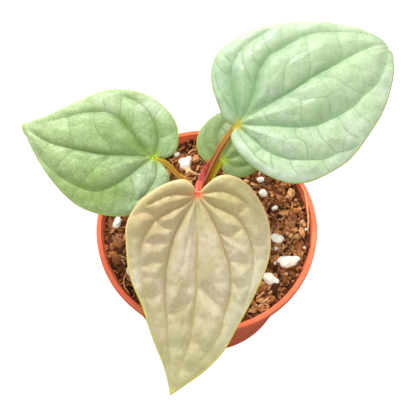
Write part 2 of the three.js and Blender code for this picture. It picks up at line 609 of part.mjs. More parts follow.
function twigSolid([x, y, length, radius, turn], extra = 0) {
  const half = length / 2 + extra;
  const [cos, sin] = [Math.cos(degrees(turn)), Math.sin(degrees(turn))];
  const route = [-half, 0, half].map((distance, i) => [
    x + distance * cos, y + distance * sin, soilHeight(x, y) + TWIG.lifts[i],
  ]);
  return taperedTube(route, radius + extra, radius * TWIG.tipShare + extra, TWIG.steps, TWIG.sides);
}

// Assembly
addPiece('pot', makePot(), ...FINISHES.pot);

let stem = makeStem();
Object.keys(PETIOLES).forEach((name) => {
  stem = stem.subtract(petioleTube(name, GAP));
});
addPiece('stem', stem, ...FINISHES.stem);

Object.entries(PETIOLES).forEach(([name, { color }]) => {
  addPiece(`petiole_${name}`, trimAtBlade(petioleTube(name), BLADES[name]), color, PETIOLE_ROUGHNESS);
});
Object.entries(BLADES).forEach(([name, leaf]) => {
  addPiece(`blade_${name}`, makeBlade(leaf), leaf.color, BLADE_ROUGHNESS);
});
Object.entries(CATAPHYLLS).forEach(([name, sheath]) => {
  addPiece(`cataphyll_${name}`, makeCataphyll(sheath), sheath.color, BLADE_ROUGHNESS);
});

// Every loose grain, chip and twig lies in a hollow of its own in the mix, and the stem in a plain hole
let soil = makeSoil().subtract(makeStem(GAP));
PERLITE.forEach((grain, i) => {
  soil = soil.subtract(grainSolid(grain, i, GAP));
  addPiece(`perlite_${String(i + 1).padStart(2, '0')}`, grainSolid(grain, i), ...FINISHES.perlite);
});
CHIPS.forEach((chip, i) => {
  soil = soil.subtract(chipSolid(chip, i, GAP));
  addPiece(`bark_chip_${i + 1}`, chipSolid(chip, i), ...FINISHES.bark);
});
TWIGS.forEach((twig, i) => {
  soil = soil.subtract(twigSolid(twig, GAP));
  addPiece(`twig_${i + 1}`, twigSolid(twig), ...FINISHES.twig);
});
addPiece('potting_mix', soil, ...FINISHES.mix);

export default group;
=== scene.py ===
"""Potted Anthurium luxurians, dressed around its solid model.

The solid model sets every place and size. Here each leaf, petiole, grain and chip is worked out again on a
finer grid, and the plant, the mix and the pot get their colours. Lengths in this file are millimetres.
"""

import math

import bpy
import numpy as np
from bpy.props import FloatProperty, FloatVectorProperty, IntProperty, PointerProperty
from mathutils import Matrix, Vector


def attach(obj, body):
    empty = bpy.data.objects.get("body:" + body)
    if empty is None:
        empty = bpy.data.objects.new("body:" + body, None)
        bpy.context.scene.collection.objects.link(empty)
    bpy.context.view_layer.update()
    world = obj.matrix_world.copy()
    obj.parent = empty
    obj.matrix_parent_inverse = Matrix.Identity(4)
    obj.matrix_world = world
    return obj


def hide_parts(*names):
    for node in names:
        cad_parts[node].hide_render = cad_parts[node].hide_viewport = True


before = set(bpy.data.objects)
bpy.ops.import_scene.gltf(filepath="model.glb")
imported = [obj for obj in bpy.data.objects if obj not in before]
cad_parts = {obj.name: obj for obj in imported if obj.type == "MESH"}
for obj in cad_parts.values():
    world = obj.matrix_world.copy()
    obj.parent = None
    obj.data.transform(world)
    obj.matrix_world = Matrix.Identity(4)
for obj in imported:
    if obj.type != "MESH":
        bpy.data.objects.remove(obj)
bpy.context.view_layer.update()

bl_info = {
    "name": "Potted Anthurium Luxurians",
    "version": (1, 0, 0),
    "blender": (4, 5, 0),
    "location": "3D View > Sidebar > Anthurium",
    "description": "Builds the leaves, petioles, potting mix, pot and studio of a potted anthurium",
    "category": "Add Mesh",
}

MM = 0.001
BODY = "root"

# Pot, as in the solid model
POT = {
    "height": 56, "rim_radius": 40, "rim_width": 1.8, "rim_depth": 3.2,
    "neck_radius": 38, "base_radius": 30.2, "base_round": 0.8, "wall": 1, "floor": 2.5,
    "recess_height": 1.2, "recess_inner": 11, "recess_outer": 26.5, "recess_slant": 0.6,
    "hole_count": 8, "hole_radius": 3, "hole_circle": 19.5,
    "tile_inner": 14.5, "tile_outer": 24.5,
}
SOIL_TOP = 52

# Leaves, as in the solid model, a column for each. Angles are in degrees.
LEAF_NAMES = ("large", "left", "new", "small")
LEAF_FORM = {
    "place": ((9.6, 11.7, 108.5), (-17.9, 12.9, 84), (-3, -3.8, 91), (5.5, 16.3, 76)),  # petiole's end
    "length": (58, 48.5, 67, 26),  # petiole to tip
    "half_width": (28, 23, 25, 12.5),  # half the greatest width
    "middle": (6, 5, 6, 3),  # place on the midrib where the rings close
    "heading": (28.4, 174, -95, 61.5),  # way that the tip points, from +X
    "pitch": (14.3, 4, -20, 8),  # rise of the midrib at the petiole
    "bend": (-16, -16, -12, -25),  # change of that rise over the length
    "roll": (3.6, -7.3, 0, 0),  # rise of the left flank at the petiole
    "twist": (-2, -2, 0, 0),  # change of that rise over the length
    "fold": (2, 0, 8, 4),  # rise of both flanks beside the midrib
    "droop": (15, 9, 8, 14),  # fall of that rise by the half width
    "drift": (0, -9, -3.5, 0),  # sideways swing of the tip
    "curl": (-55, 30, 0, 0),  # further turn of the tip
    "curl_start": (0.86, 0.9, 0.9, 0.9),  # share of the length where it starts
    "around": (240, 220, 250, 110),  # points along each side of the outline
    "rings": (96, 84, 100, 44),  # rings from the middle to the outline
    "relief_height": (2.2, 1.6, 2.1, 0.7),  # height of the cushions, times the quilt height
    "soften": (4, 4, 3, 4),  # rounds of smoothing of the cushions
    "wave": (0.35, 0.3, 0.15, 0.15),  # height of the slow waves
    "wave_seed": (10, 9, 8, 10),  # start of their draws
    "rib_height": (0.1, 0.12, 0.3, 0.1),  # height of the raised midrib
    "rib_fade": (3.2, 3.2, 0.9, 3.2),  # how soon it fades towards the tip
    "vein_scale": (0.78, 0.68, 0.52, 0.75),  # width of the veins, times the vein width
    "margin_width": (0.5, 0.5, 0.65, 0.45),  # width of the coloured margin
}
# Colours in screen steps, and the strengths of their layers
LEAF_FINISH = {
    "low": ((114, 142, 102), (90, 116, 46), (152, 138, 86), (104, 126, 66)),  # painted shade in the creases and folds
    "high": ((158, 176, 148), (154, 178, 124), (212, 199, 176), (134, 156, 100)),  # tops of the cushions
    "tip": ((164, 184, 130), (188, 206, 156), (202, 202, 122), (130, 152, 88)),  # towards the tip
    "flank": ((198, 215, 182), (134, 154, 62), (162, 134, 88), (112, 134, 74)),  # one whole flank
    "lobe_flank": ((204, 221, 190), (186, 206, 172), (160, 132, 68), (118, 140, 80)),  # lobe on its side
    "lobe": ((122, 148, 116), (154, 178, 132), (162, 148, 80), (128, 150, 90)),  # other lobe
    "pale": ((196, 208, 192), (184, 204, 158), (212, 208, 164), (140, 164, 100)),  # painted sheen on the outer band, and at the paler places
    "base": ((164, 150, 20), (150, 172, 24), (232, 40, 6), (150, 168, 36)),  # star at the petiole
    "ray": ((160, 158, 34), (140, 166, 30), (226, 124, 50), (140, 162, 40)),  # its rays along the veins
    "vein": ((96, 130, 84), (74, 102, 40), (150, 104, 88), (90, 114, 56)),  # veins and net
    "margin": ((176, 194, 104), (164, 188, 78), (224, 218, 24), (156, 178, 84)),  # edge line at the tip
    "edge": ((150, 180, 84), (150, 180, 66), (232, 192, 140), (150, 176, 76)),  # edge line at the lobes
    "under": ((132, 156, 92), (120, 140, 70), (142, 116, 76), (110, 132, 62)),  # underside
    "patch": ((146, 176, 112), (112, 140, 64), (160, 158, 96), (108, 132, 66)),  # cloudy patches
    "flank_side": (-1.0, 1.0, -1.0, 1.0),  # side of that flank, 1 for the left
    "crease": (0.5, 0.5, 0.22, 0.5),  # cushion height up to which a crease gets painted shade
    "vein_strength": (0.8, 0.75, 0.5, 0.5),  # share of each layer from here on
    "patch_share": (0.4, 0.4, 0.55, 0.35),
    "net_share": (0.22, 0.35, 0.18, 0.3),
    # Share of the painted shade along the main veins near the petiole
    "vein_shade_share": (0.62, 0.7, 0.15, 0.3),
    # Share of the painted sheen towards the outline
    "painted_sheen_share": (0.6, 0.5, 0.5, 0.3),
    "star": (0.72, 0.7, 0.76, 0.7),  # nearness at which the star begins
}
# Each side of a blade's outline: u runs along the midrib from the petiole and v to the leaf's left
LEAF_SIDES = {
    ("large", "left"):
        [(-1, 0.8), (-2.6, 4), (-1.8, 9), (0, 17), (4, 24), (11, 28), (21, 28), (31, 24.5), (41, 18.7),
         (50, 11), (55, 4.5), (58, 0.8)],
    ("large", "right"):
        [(-1, -0.4), (-3.7, -2), (-4.4, -7), (-3, -13.5), (0.5, -20.5), (6, -26), (14, -28.3), (24, -28),
         (34, -24), (43, -18.7), (51, -11), (55.2, -5), (57, -2.4), (57.1, -1.4), (56.4, -0.7), (57.2, 0),
         (58, 0.8)],
    ("left", "left"):
        [(-1, 0.8), (-3.4, 2.4), (-6, 6), (-5.6, 10.5), (-3, 15), (1, 18.7), (7, 21.2), (14, 22), (22, 21),
         (29, 18), (36, 13), (42, 7.4), (45.4, 3.2), (47.4, 2.1), (48.5, 0.6)],
    ("left", "right"):
        [(-1.2, -0.4), (-4, -0.8), (-6.8, -3.4), (-7.2, -8.5), (-5.4, -14.5), (-1, -19.6), (5, -23.4),
         (12, -24.8), (20, -23.4), (28, -18), (37, -10), (43.6, -4.2), (46.2, -1.7), (47.7, -0.8),
         (48.5, 0.6)],
    ("new", "left"):
        [(-0.7, 0.8), (-3.2, 2.8), (-6, 6), (-6.8, 10), (-5, 15), (-1, 19.2), (5, 23), (12, 25), (20, 25),
         (30, 22.2), (41, 18), (50, 14.5), (57, 9.8), (62, 5), (67, 0)],
    ("new", "right"):
        [(-0.9, -0.8), (-3, -2.2), (-4.2, -5), (-3, -9.3), (0, -14.3), (5, -19.2), (12, -22.3), (20, -21.6),
         (29, -19.4), (38, -14.5), (48, -9.5), (57, -4.4), (62.5, -1.8), (67, 0)],
    ("small", "left"):
        [(-0.7, 0.7), (-2.8, 3), (-2.9, 6), (-1, 9.4), (3, 12.2), (8, 13), (14, 11.7), (19, 8.6), (23, 4.6),
         (26, 0)],
    ("small", "right"):
        [(-0.8, -0.6), (-3.1, -1.6), (-3.9, -4.4), (-3, -8), (-0.4, -10.9), (3.2, -12.4), (8, -12.7),
         (14, -11), (19, -8), (23, -4.2), (26, 0)],
}
# Cushions between the veins of each class: share of the height, width and power
LEAF_RELIEF = {
    "large": [(0.78, 5.2, 1.1), (0.16, 2.8, 1.2), (0.06, 1.2, 1.4)],
    "left": [(0.7, 4.2, 1.1), (0.22, 2.4, 1.2), (0.08, 1.2, 1.4)],
    "new": [(0.13, 1.1, 1.2), (0.67, 3.2, 1.05), (0.2, 1.5, 1.3)],
    "small": [(0.55, 3.0, 1.15), (0.3, 2.0, 1.2), (0.15, 1.0, 1.4)],
}
# Soft places of painted shade, or of painted light below 0: u, v, reach along and across, and strength
LEAF_PAINTED_SHADING = {
    "large":
        [(6, 3, 4, 2.5, 0.5), (26, -10.5, 8, 3, 0.6), (12, 20, 6, 3, -0.3)],
    "left":
        [(6.5, -2.8, 5, 2.2, 0.7), (14, -5, 5, 3.5, 0.35), (8.5, 14.5, 4, 3.5, 0.5),
         (4, -18.5, 5, 3.5, -0.8), (3.5, 9.5, 3.5, 2.5, -0.7), (18, -18, 6, 4, -0.35), (-1, 5, 2, 3, -0.6)],
    "new":
        [(33, 20.5, 10, 2.5, -0.75), (43, 16.5, 8, 3, -0.75), (8, 0, 6, 2.5, -0.5),
         (32, -18, 9, 2.5, -0.85), (0, -6.5, 4, 3, 0.3), (27, 6, 6, 3, 0.4), (30, -3, 4, 1.5, 0.4)],
    "small":
        [],
}
# Veins by leaf and class: 1 the main ones, the midrib first, 2 their branches, 3 the faint ones between
LEAF_VEINS = {
    ("large", 1): [
        [(0, 0), (3.3, 0.8), (7, 0.8), (12.4, 0.6), (17.9, 0.6), (23.6, 1), (29.4, 1.5), (35.1, 1.7),
         (40.9, 2), (46.5, 2.1), (52, 1.6), (58, 0.8)],
        [(0, 0), (3, 1.5), (5.6, 2.9), (8.3, 5.1), (11, 8.1), (13.6, 11), (16, 13.1), (18.6, 14.7),
         (21.3, 15.8), (24.9, 16), (28.8, 16.2), (32.6, 16.3), (36.1, 15.8), (39.9, 14.6), (43.8, 12.4),
         (47.7, 10.1), (51.5, 7.2), (55, 3)],
        [(0, 0), (1.8, 3.1), (2.9, 6.2), (4.1, 9.5), (5.6, 13.9), (6.7, 16.5), (8.3, 18.8), (10.1, 20.4),
         (12.6, 22.2), (15.6, 23.3), (18.4, 24.1), (21.3, 24.3), (23.3, 24.4), (26.3, 24.5)],
        [(0, 0), (1.7, -0.7), (3.6, -2.2), (7.2, -4.8), (10.8, -7.2), (14.6, -10), (18.1, -12),
         (21.5, -13.2), (24.8, -13.7), (28.4, -13.9), (31.6, -13.8), (34.5, -13.5), (37.5, -12.4),
         (39.9, -11.7), (42.4, -11.3), (44.8, -10.4), (47.4, -8.8), (50, -6.9), (53.5, -3.2), (56, -0.8)],
        [(0, 0), (0.4, -1.1), (0.9, -2.9), (1.5, -5.1), (2.5, -8.1), (3.2, -10.8), (4.4, -13.4),
         (5.9, -15.6), (8.1, -18), (11, -20), (14.3, -22), (17.1, -23.5), (19.5, -24.1), (21.9, -24),
         (24.2, -24.7), (26.4, -25.2), (29.4, -25.2)],
    ],
    ("large", 2): [
        [(1.2, 3.9), (1, 7.4), (1.1, 10.5), (1, 13.2), (1.7, 16.6), (2.9, 19.8)],
        [(-0.5, -1.4), (-0.9, -3.9), (-0.8, -6.6), (-0.4, -9.7), (0, -12.9), (1.1, -16)],
        [(21.5, 16.4), (21.7, 19.4), (22.1, 21.8), (22.6, 23.9)],
        [(16.1, 13.5), (15.9, 16.8), (16.6, 19.4), (18.7, 21.9), (21.3, 24)],
        [(11.1, 9), (11.5, 12.6), (11.9, 15.7), (12.7, 19.2), (14.4, 22)],
        [(6.6, 16.3), (5.5, 19), (4.9, 21.8), (5.7, 24.8)], [(3.8, 9.2), (2.3, 10.9), (1.1, 12.7)],
        [(9.3, 19.7), (8.9, 23.1), (8.3, 25.5)],
        [(26.9, 1.4), (29.5, 4.9), (30.9, 7.8), (31.8, 10.2), (32.9, 12.7), (34.3, 16)],
        [(17.5, 1), (20.2, 5.4), (22.2, 8.3), (24.3, 9.7), (27.1, 10.4), (29.8, 10.6), (31.9, 10.2)],
        [(40, 2), (41, 4.7), (41.9, 7.4), (42.8, 10.4), (43.5, 12.3)],
        [(45.2, 2.3), (46.5, 4.8), (48.3, 7.2), (49.5, 8.7)],
        [(30.1, 1.3), (32.2, -0.6), (35, -3.6), (35.3, -5.7), (36.8, -8.3), (38.3, -10.4), (39.5, -11.8)],
        [(18.4, -0.4), (20.5, -2.4), (21.8, -4.1), (25, -5.6), (28.3, -7.4), (28.1, -9.1), (27.3, -11.6),
         (26.3, -13.7)],
        [(21.3, -3.6), (19.4, -6.9), (17.2, -11.2)], [(21, -13.3), (20.3, -17.5), (21, -20.8), (21.9, -24)],
        [(28.5, -14.1), (28.2, -18.7), (28.9, -21.4), (30.7, -23.4)],
        [(34.3, -13.7), (34.5, -17.5), (36.2, -20.6)],
        [(15, -10.3), (14.4, -12), (13.7, -13.9), (14.9, -15.8), (14.9, -18.1), (13.2, -21.3)],
        [(4.5, -13.7), (3.1, -16.2), (2.4, -18.5)], [(3.3, -10.9), (0.9, -10.8), (-0.4, -11.6)],
        [(8.4, -18.2), (7.8, -21.4), (8.1, -24.2)], [(16.8, -23.3), (16.9, -25.5), (16.9, -27.8)],
    ],
    ("large", 3): [
        [(26.3, 16.3), (27.6, 19.7), (29.1, 22.8)], [(31.5, 16.5), (33.1, 19.9)], [(38.7, 15), (40.5, 17.2)],
        [(43.9, 12.5), (45.3, 14.3)], [(11.6, 1.2), (14.5, 5.1), (16.9, 7.8), (20, 8.7), (22, 7.9)],
        [(33.4, 1.9), (34.9, 5.4), (37, 8), (39.4, 9.4), (42.4, 9.8)],
        [(29.8, 5.6), (32.2, 5.5), (34.4, 4.6)], [(34.8, 5.2), (36.1, 3.4), (37, 1.9)],
        [(46.2, 4.4), (49.2, 4.5)], [(28.6, -7.2), (31.6, -6.9), (34.1, -7.4)],
        [(26.1, -6.5), (25, -9.5), (22.9, -13.2)],
        [(14.8, 0.4), (14.3, -2.5), (14.4, -4.8), (16.8, -6.9), (19, -7.6)],
        [(9.4, 0.6), (9.1, -2.5), (8.8, -5.6)],
        [(41, 1.7), (40.9, -1.3), (42.2, -3.7), (44.4, -5.6), (47.3, -8.8)],
        [(35.4, -5.5), (38.2, -6.6), (41.1, -9.1), (43.9, -10.7)], [(42.1, -3.9), (41.7, -7), (39.6, -11.4)],
        [(48.5, 1.7), (48.5, -1.5), (49.2, -3.7)], [(33.8, -7.2), (33.8, -10.2), (32.2, -13.5)],
        [(37.1, -12.8), (37.4, -16.4), (39.3, -18.2)], [(41.1, -11.6), (42.1, -13.5), (43.9, -14.9)],
        [(21.2, -21.2), (24, -19.6), (27.1, -21.3), (29, -21.5)],
        [(27, -21.3), (25.3, -22.9), (24.4, -24.8)], [(13.7, -14), (10.7, -12.8), (8.7, -13.9), (7.3, -17)],
        [(9.4, -6.4), (9.1, -8.4), (10.4, -11.1), (10.6, -12.8)],
        [(7.5, -7.8), (5.3, -9.1), (4.5, -11.7), (4.9, -14)], [(7, -8.3), (4.3, -6.9), (2.5, -5)],
        [(18.4, -12.1), (17.9, -14.9), (17.4, -17.6), (15.4, -19)],
        [(13.3, -21.5), (12.5, -23.6), (13, -26.1)], [(0.7, -3.8), (-0.3, -6.7), (-0.4, -9.4)],
        [(12.5, -23.6), (9.8, -22.2), (7.9, -21.2)], [(21.8, -24.2), (21.9, -26.4), (22.1, -28)],
    ],
    ("left", 1): [
        [(0, 0), (1.3, 0), (4.6, 0.2), (8.3, 0.5), (12.5, 0.8), (16.2, 1.1), (19.4, 1.2), (22.8, 1.2),
         (26.5, 1.3), (29.7, 1.3), (32.7, 1.4), (35.1, 1.5), (38.7, 1.4), (41.8, 0.9), (44.3, 0.1)],
        [(0, 0), (2, -0.5), (4, -2.5), (6.7, -5.7), (9.6, -9), (12.9, -12.3), (16.7, -14.3), (20.3, -14.6),
         (24.1, -13.7), (27.8, -12.4), (31.2, -10.5), (34.6, -8.5), (38.7, -6.1), (42.1, -3.3)],
        [(0, 0), (-0.1, -1.2), (-0.3, -3.5), (-0.2, -6.8), (0.7, -10.3), (2.1, -13.5), (4, -16.5),
         (6.6, -19.1), (9.6, -20.9), (12.9, -21.9)],
        [(0, 0), (1.5, 0.9), (3.9, 3.1), (6.2, 5.5), (8.7, 8.2), (11.8, 10.9), (14.7, 12.8), (18.2, 14.3),
         (22, 14.3), (26, 13.4), (29.6, 12.5), (33.3, 11.2), (36.5, 9.7), (39.5, 7.9), (42, 5.6)],
        [(0, 0), (-0.6, 0.6), (-1.1, 3.4), (-1.2, 6.8), (-0.1, 10.1), (1.5, 13.3), (3.6, 15.7)],
    ],
    ("left", 2): [
        [(-2.5, -0.6), (-3.9, -2.5), (-4.6, -5.2)], [(-0.2, -7.6), (-2.6, -8.5), (-4.7, -10.2)],
        [(2, -13.5), (1.8, -16), (0.6, -18.4)], [(14, -13), (14.1, -16.8), (14.2, -20.6)],
        [(19.4, -14.8), (19.8, -17.8), (20.8, -20.1)],
        [(15, 1), (15.2, -1.5), (16.4, -3.4), (19.1, -4.9), (21, -7.5), (22.2, -10.1), (22.7, -13.8)],
        [(28, 1.3), (28.7, -1.7), (30, -4.6), (30.8, -7.5), (31.7, -10.1)],
        [(15.6, 1.1), (17.9, 4.3), (20.2, 7.6), (22.7, 10.7), (24.4, 13.7)],
        [(28.1, 1.4), (30.4, 4.9), (32.7, 8.6), (33.7, 11)], [(37, 1.5), (38.8, 5.3), (40.2, 7.4)],
        [(12.1, 11.1), (11.5, 13.9), (11.8, 16.9), (11.7, 20.1)], [(15.9, 13.4), (16.2, 16), (16.1, 19)],
        [(19.4, 14.4), (19.4, 16.9), (20.1, 19.3)], [(24.5, 13.8), (25.8, 15.8), (26.5, 17.9)],
        [(7.8, 7.3), (6.2, 10.1), (5.3, 13.1), (5.9, 16.6)],
    ],
    ("left", 3): [
        [(6.2, -18.8), (5.5, -21.8)], [(25.6, -13.2), (26.4, -16.3)],
        [(25.9, -13), (25.9, -9.9), (27.1, -7.7), (29.8, -6.3)],
        [(21, -7.1), (17.9, -8.2), (14.7, -7.7), (12.5, -9), (10.9, -10.4)],
        [(15.7, -2.5), (13.1, -3.5), (10.3, -3.1), (7.7, -4.6), (6.5, -5.5)],
        [(24, 1.1), (24.9, -2.2), (23.9, -5.4), (21.2, -7.4)], [(10.3, -3.1), (10.7, -1.2), (10.8, 0.6)],
        [(34.2, 1.3), (35, -1.7), (36.5, -4.2), (36.6, -7.2)], [(29.6, -3.7), (32.6, -3.2), (35.4, -3.1)],
        [(39.5, 1.3), (40.3, -1.7), (39.7, -5.3)], [(8.1, -7.2), (5.9, -9), (4.2, -11.6), (2.4, -13.8)],
        [(10.5, -9.9), (8.8, -12.5), (9.6, -15.5), (8.8, -20)], [(9, -14), (5.9, -14.4), (3.5, -15.6)],
        [(3.3, -2.2), (1.9, -4.6), (2, -8), (0.4, -9.4)],
        [(18.8, 5.6), (15.6, 6.3), (12.9, 8.1), (12.8, 11.6)],
        [(10.1, 0.7), (11.1, 3.6), (9.7, 5.9), (9.1, 8.3)], [(15.6, 6.3), (13.4, 4.2), (11.1, 3.6)],
        [(23.9, 4.9), (21.3, 5.5), (19.5, 6.2)], [(23.9, 4.9), (26.4, 4.7), (29.2, 3.2)],
        [(23.9, 4.9), (24.9, 8.3), (26.8, 10.5), (27.9, 12.8)], [(11.4, 14.9), (8.5, 14.9), (5.4, 13.8)],
        [(2.8, 2.1), (1.9, 5.2), (1.8, 8.8), (0.5, 10.7)], [(31.3, 12), (32.9, 14.2)],
        [(16.2, 16.6), (14, 17.1), (11.8, 16.7)],
    ],
    ("new", 1): [
        [(0, 0), (3.1, 0.2), (9, 0.7), (15.2, 1.2), (21.2, 1.7), (27.4, 2.2), (31.2, 2.7), (35.1, 2.6),
         (39.3, 2.7), (43.5, 2.7), (47.5, 2.7), (50.6, 2.1), (54, 1.5), (57.5, 1), (61.3, 0.5),
         (64.8, -0.1)],
        [(0, 0), (2.2, -0.9), (4.5, -2), (8.2, -4), (12.8, -5.9), (17.2, -7), (21.1, -7.6), (24.7, -8),
         (29, -7.8), (33.2, -7.5), (38, -6.6), (42.2, -5.7), (47.1, -4.7), (51.8, -3.8), (56.7, -2.8)],
        [(0, 0), (1.9, -1.5), (4.1, -4.5), (6.5, -8.4), (9.1, -12.2), (11.7, -14.2), (14.6, -15.9),
         (18, -16.8), (21.2, -17), (24.8, -16.6), (28.6, -15.8), (32.5, -15), (36.3, -13.7), (40.1, -12.4)],
        [(0, 0), (0.6, -1.8), (0.6, -5.1), (1.2, -8.8), (2.9, -12.3), (5, -15.5)],
        [(0, 0), (2.1, 1), (4.3, 2.6), (7.8, 5.2), (11.3, 7.5), (14.8, 9.2), (18.4, 10.6), (21.2, 12),
         (25, 13), (29.1, 13.6), (33.3, 13.6), (36.9, 12.8), (39.9, 12.6), (43, 12.3), (45.9, 11.4),
         (48.9, 10.1), (51.1, 9), (54.1, 8.2)],
        [(0, 0), (1.3, 1.9), (3, 4.4), (4.6, 8.3), (5.9, 12), (7.9, 14.5), (10.6, 16.6), (14.1, 18.5),
         (17.5, 19.6), (20.9, 20), (24.4, 20.1), (28.1, 19.9), (31.3, 19.4), (34.7, 18.7)],
        [(0, 0), (-0.1, 1.9), (-1, 4.5), (-1.4, 7.3), (-0.9, 10.3), (0.2, 13.3), (1.8, 15.7), (2.9, 16.5)],
        [(40.1, -5.9), (38.8, -4.2), (37.2, -2.3), (35.9, -0.3), (34.7, 2.5)],
    ],
    ("new", 2): [
        [(9.5, -12.4), (11.6, -10.9), (11.7, -8.4), (12, -5.7)],
        [(17.1, -16.5), (17.2, -14), (16.7, -10.8), (16.4, -7.1)],
        [(25.4, -16.5), (24.2, -14.2), (23, -11.3), (22.6, -8)],
        [(35.2, -14.5), (34.6, -11.4), (33.6, -9.5), (32.9, -7.5)],
        [(50.3, -4.1), (50.1, -1.3), (49.7, 1.3), (48.5, 2.5)],
        [(9.4, -13), (8.1, -14.6), (7.6, -17.1), (8.8, -20.1)],
        [(2.8, 16.6), (4.5, 14.7), (5.8, 13.6), (6.7, 13.4)], [(2.9, 16.5), (3.6, 18.8), (5.4, 21.6)],
        [(21.1, 12.1), (20.8, 14.8), (21, 17.6), (21.1, 20)],
        [(12, 7.9), (12.6, 9.8), (13.2, 11.7), (11.6, 13.3), (10.1, 15.8), (11.2, 17.2)],
        [(30.2, 2.6), (31.7, 5.4), (33.7, 7.9), (35.6, 10.5), (37.6, 12.7)],
        [(47.5, 3), (48.3, 4.7), (49, 6.2), (50.6, 7.6), (50.8, 9.3)], [(57.1, 1.3), (57.4, 3), (58.3, 5)],
        [(27.4, 13.5), (28.3, 15), (29.4, 16.4), (28.5, 17.7), (27.5, 19.6)],
        [(14.8, 19.4), (15.1, 21.4), (14.2, 23.6)],
    ],
    ("new", 3): [
        [(29.3, -15.7), (28.3, -13.6), (28.6, -11.2), (28.1, -8)],
        [(17.1, -13.4), (19.6, -12.8), (23.5, -13.1)], [(28.9, -11.8), (31.5, -10.6), (34.6, -11.2)],
        [(38.8, -12.9), (38.9, -9.7), (39, -6.4)], [(28.6, -7.9), (30.3, -6.5), (30.5, -4.3), (28.6, -3.2)],
        [(28, -4.2), (25.4, -3.3), (23.2, -2.4), (22.4, -1), (22, 1.7)],
        [(22.8, -2.2), (19, -2.3), (15.4, -2.1)], [(28.9, -3.3), (30.1, -1.9), (33, -1.4), (36, -0.7)],
        [(30.8, -1.8), (30.3, 0.4), (29.1, 2.4)], [(43.7, -5.4), (42.4, -3.3), (42, -0.1), (42.2, 2.6)],
        [(36.5, -1), (39.2, -0.3), (42.2, -0.4)], [(50.1, -1.5), (53.2, -0.6), (56.9, 0.4)],
        [(15.5, -16.4), (16, -18.7), (15.7, -21)], [(21.9, -16.9), (22.7, -19), (22.2, -20.7)],
        [(29.6, -15.7), (31, -17.2), (31.4, -17.8)], [(1.8, -10.6), (-0.7, -11.8), (-2.1, -11.6)],
        [(0.9, -7), (-1.7, -7.9), (-3.4, -7.4)], [(3, -12.6), (5.5, -11.5), (8.4, -11.6)],
        [(1.3, -8.3), (3.8, -7.8), (6.3, -8.2)], [(13.2, 11.8), (15.8, 13), (18.4, 12.3), (19.5, 11.1)],
        [(14.9, 13.6), (15.5, 16.3), (15, 18.8)], [(14.8, 9.2), (16.3, 11.1), (16.4, 12.9)],
        [(50.6, 7.6), (53.3, 7.4), (56.5, 6.3)], [(29.4, 16.4), (31.9, 17.3), (32.7, 19.1)],
        [(31.6, 13.7), (34.3, 16), (36.8, 17.9)],
        [(29.6, 2.6), (29.6, 5.3), (28.4, 7.5), (27.8, 10.7), (27.7, 13.4)],
        [(28.5, 7.5), (31.1, 8.4), (32.6, 10.2), (32.6, 13.5)], [(31.1, 8.4), (33.2, 7)],
        [(38.6, 2.8), (40.3, 5.3), (40.1, 7.3), (41.2, 9.4), (41.2, 12.5)],
        [(40.1, 7.3), (43, 7.4), (45.6, 5.4), (46.2, 3)], [(43, 7.4), (44.8, 9.6), (44.5, 11.9)],
        [(19.4, 19.9), (19.6, 21.8), (18.8, 23.7)], [(8.9, 18.1), (8.4, 19.9), (8.9, 21.5)],
        [(10.3, 16.1), (8, 16.9), (6.8, 19.4)], [(-1.5, 8.1), (-3.8, 9.4), (-4.9, 11.2)],
        [(-0.7, 11.3), (-2.8, 13.1), (-2.9, 14.7)], [(-1.3, 7.3), (1.2, 7.8), (4.2, 7.8)],
        [(-0.5, 11.3), (2.3, 11.2), (5.5, 12.1)], [(25.2, 20), (25.7, 22.1)],
    ],
    ("small", 1): [
        [(0, 0), (14, 0.3), (26, 0)], [(0, 0.2), (4, 4), (9, 6.6), (15, 6), (22, 2.4)],
        [(0, 0.3), (0.5, 5), (3.5, 9.2), (9, 10.4)], [(0, -0.2), (4, -4), (9, -6.6), (15, -6), (22, -2.4)],
        [(0, -0.3), (0, -5), (3.2, -9.2), (9, -10.4)],
    ],
    ("small", 2): [
        [(8, 0), (11, 6.6)], [(9, 0), (13, -6.4)], [(4, 4), (3.4, 9.1)], [(4, -4), (3.2, -9.2)],
    ],
    ("small", 3): [
        [(9, 6.6), (10, 11.8)], [(9, -6.6), (10, -11.6)], [(14, 0.3), (16.5, 5.2)], [(0, 5), (-1.6, 6)],
        [(0, -5), (-2.4, -5.4)],
    ],
}
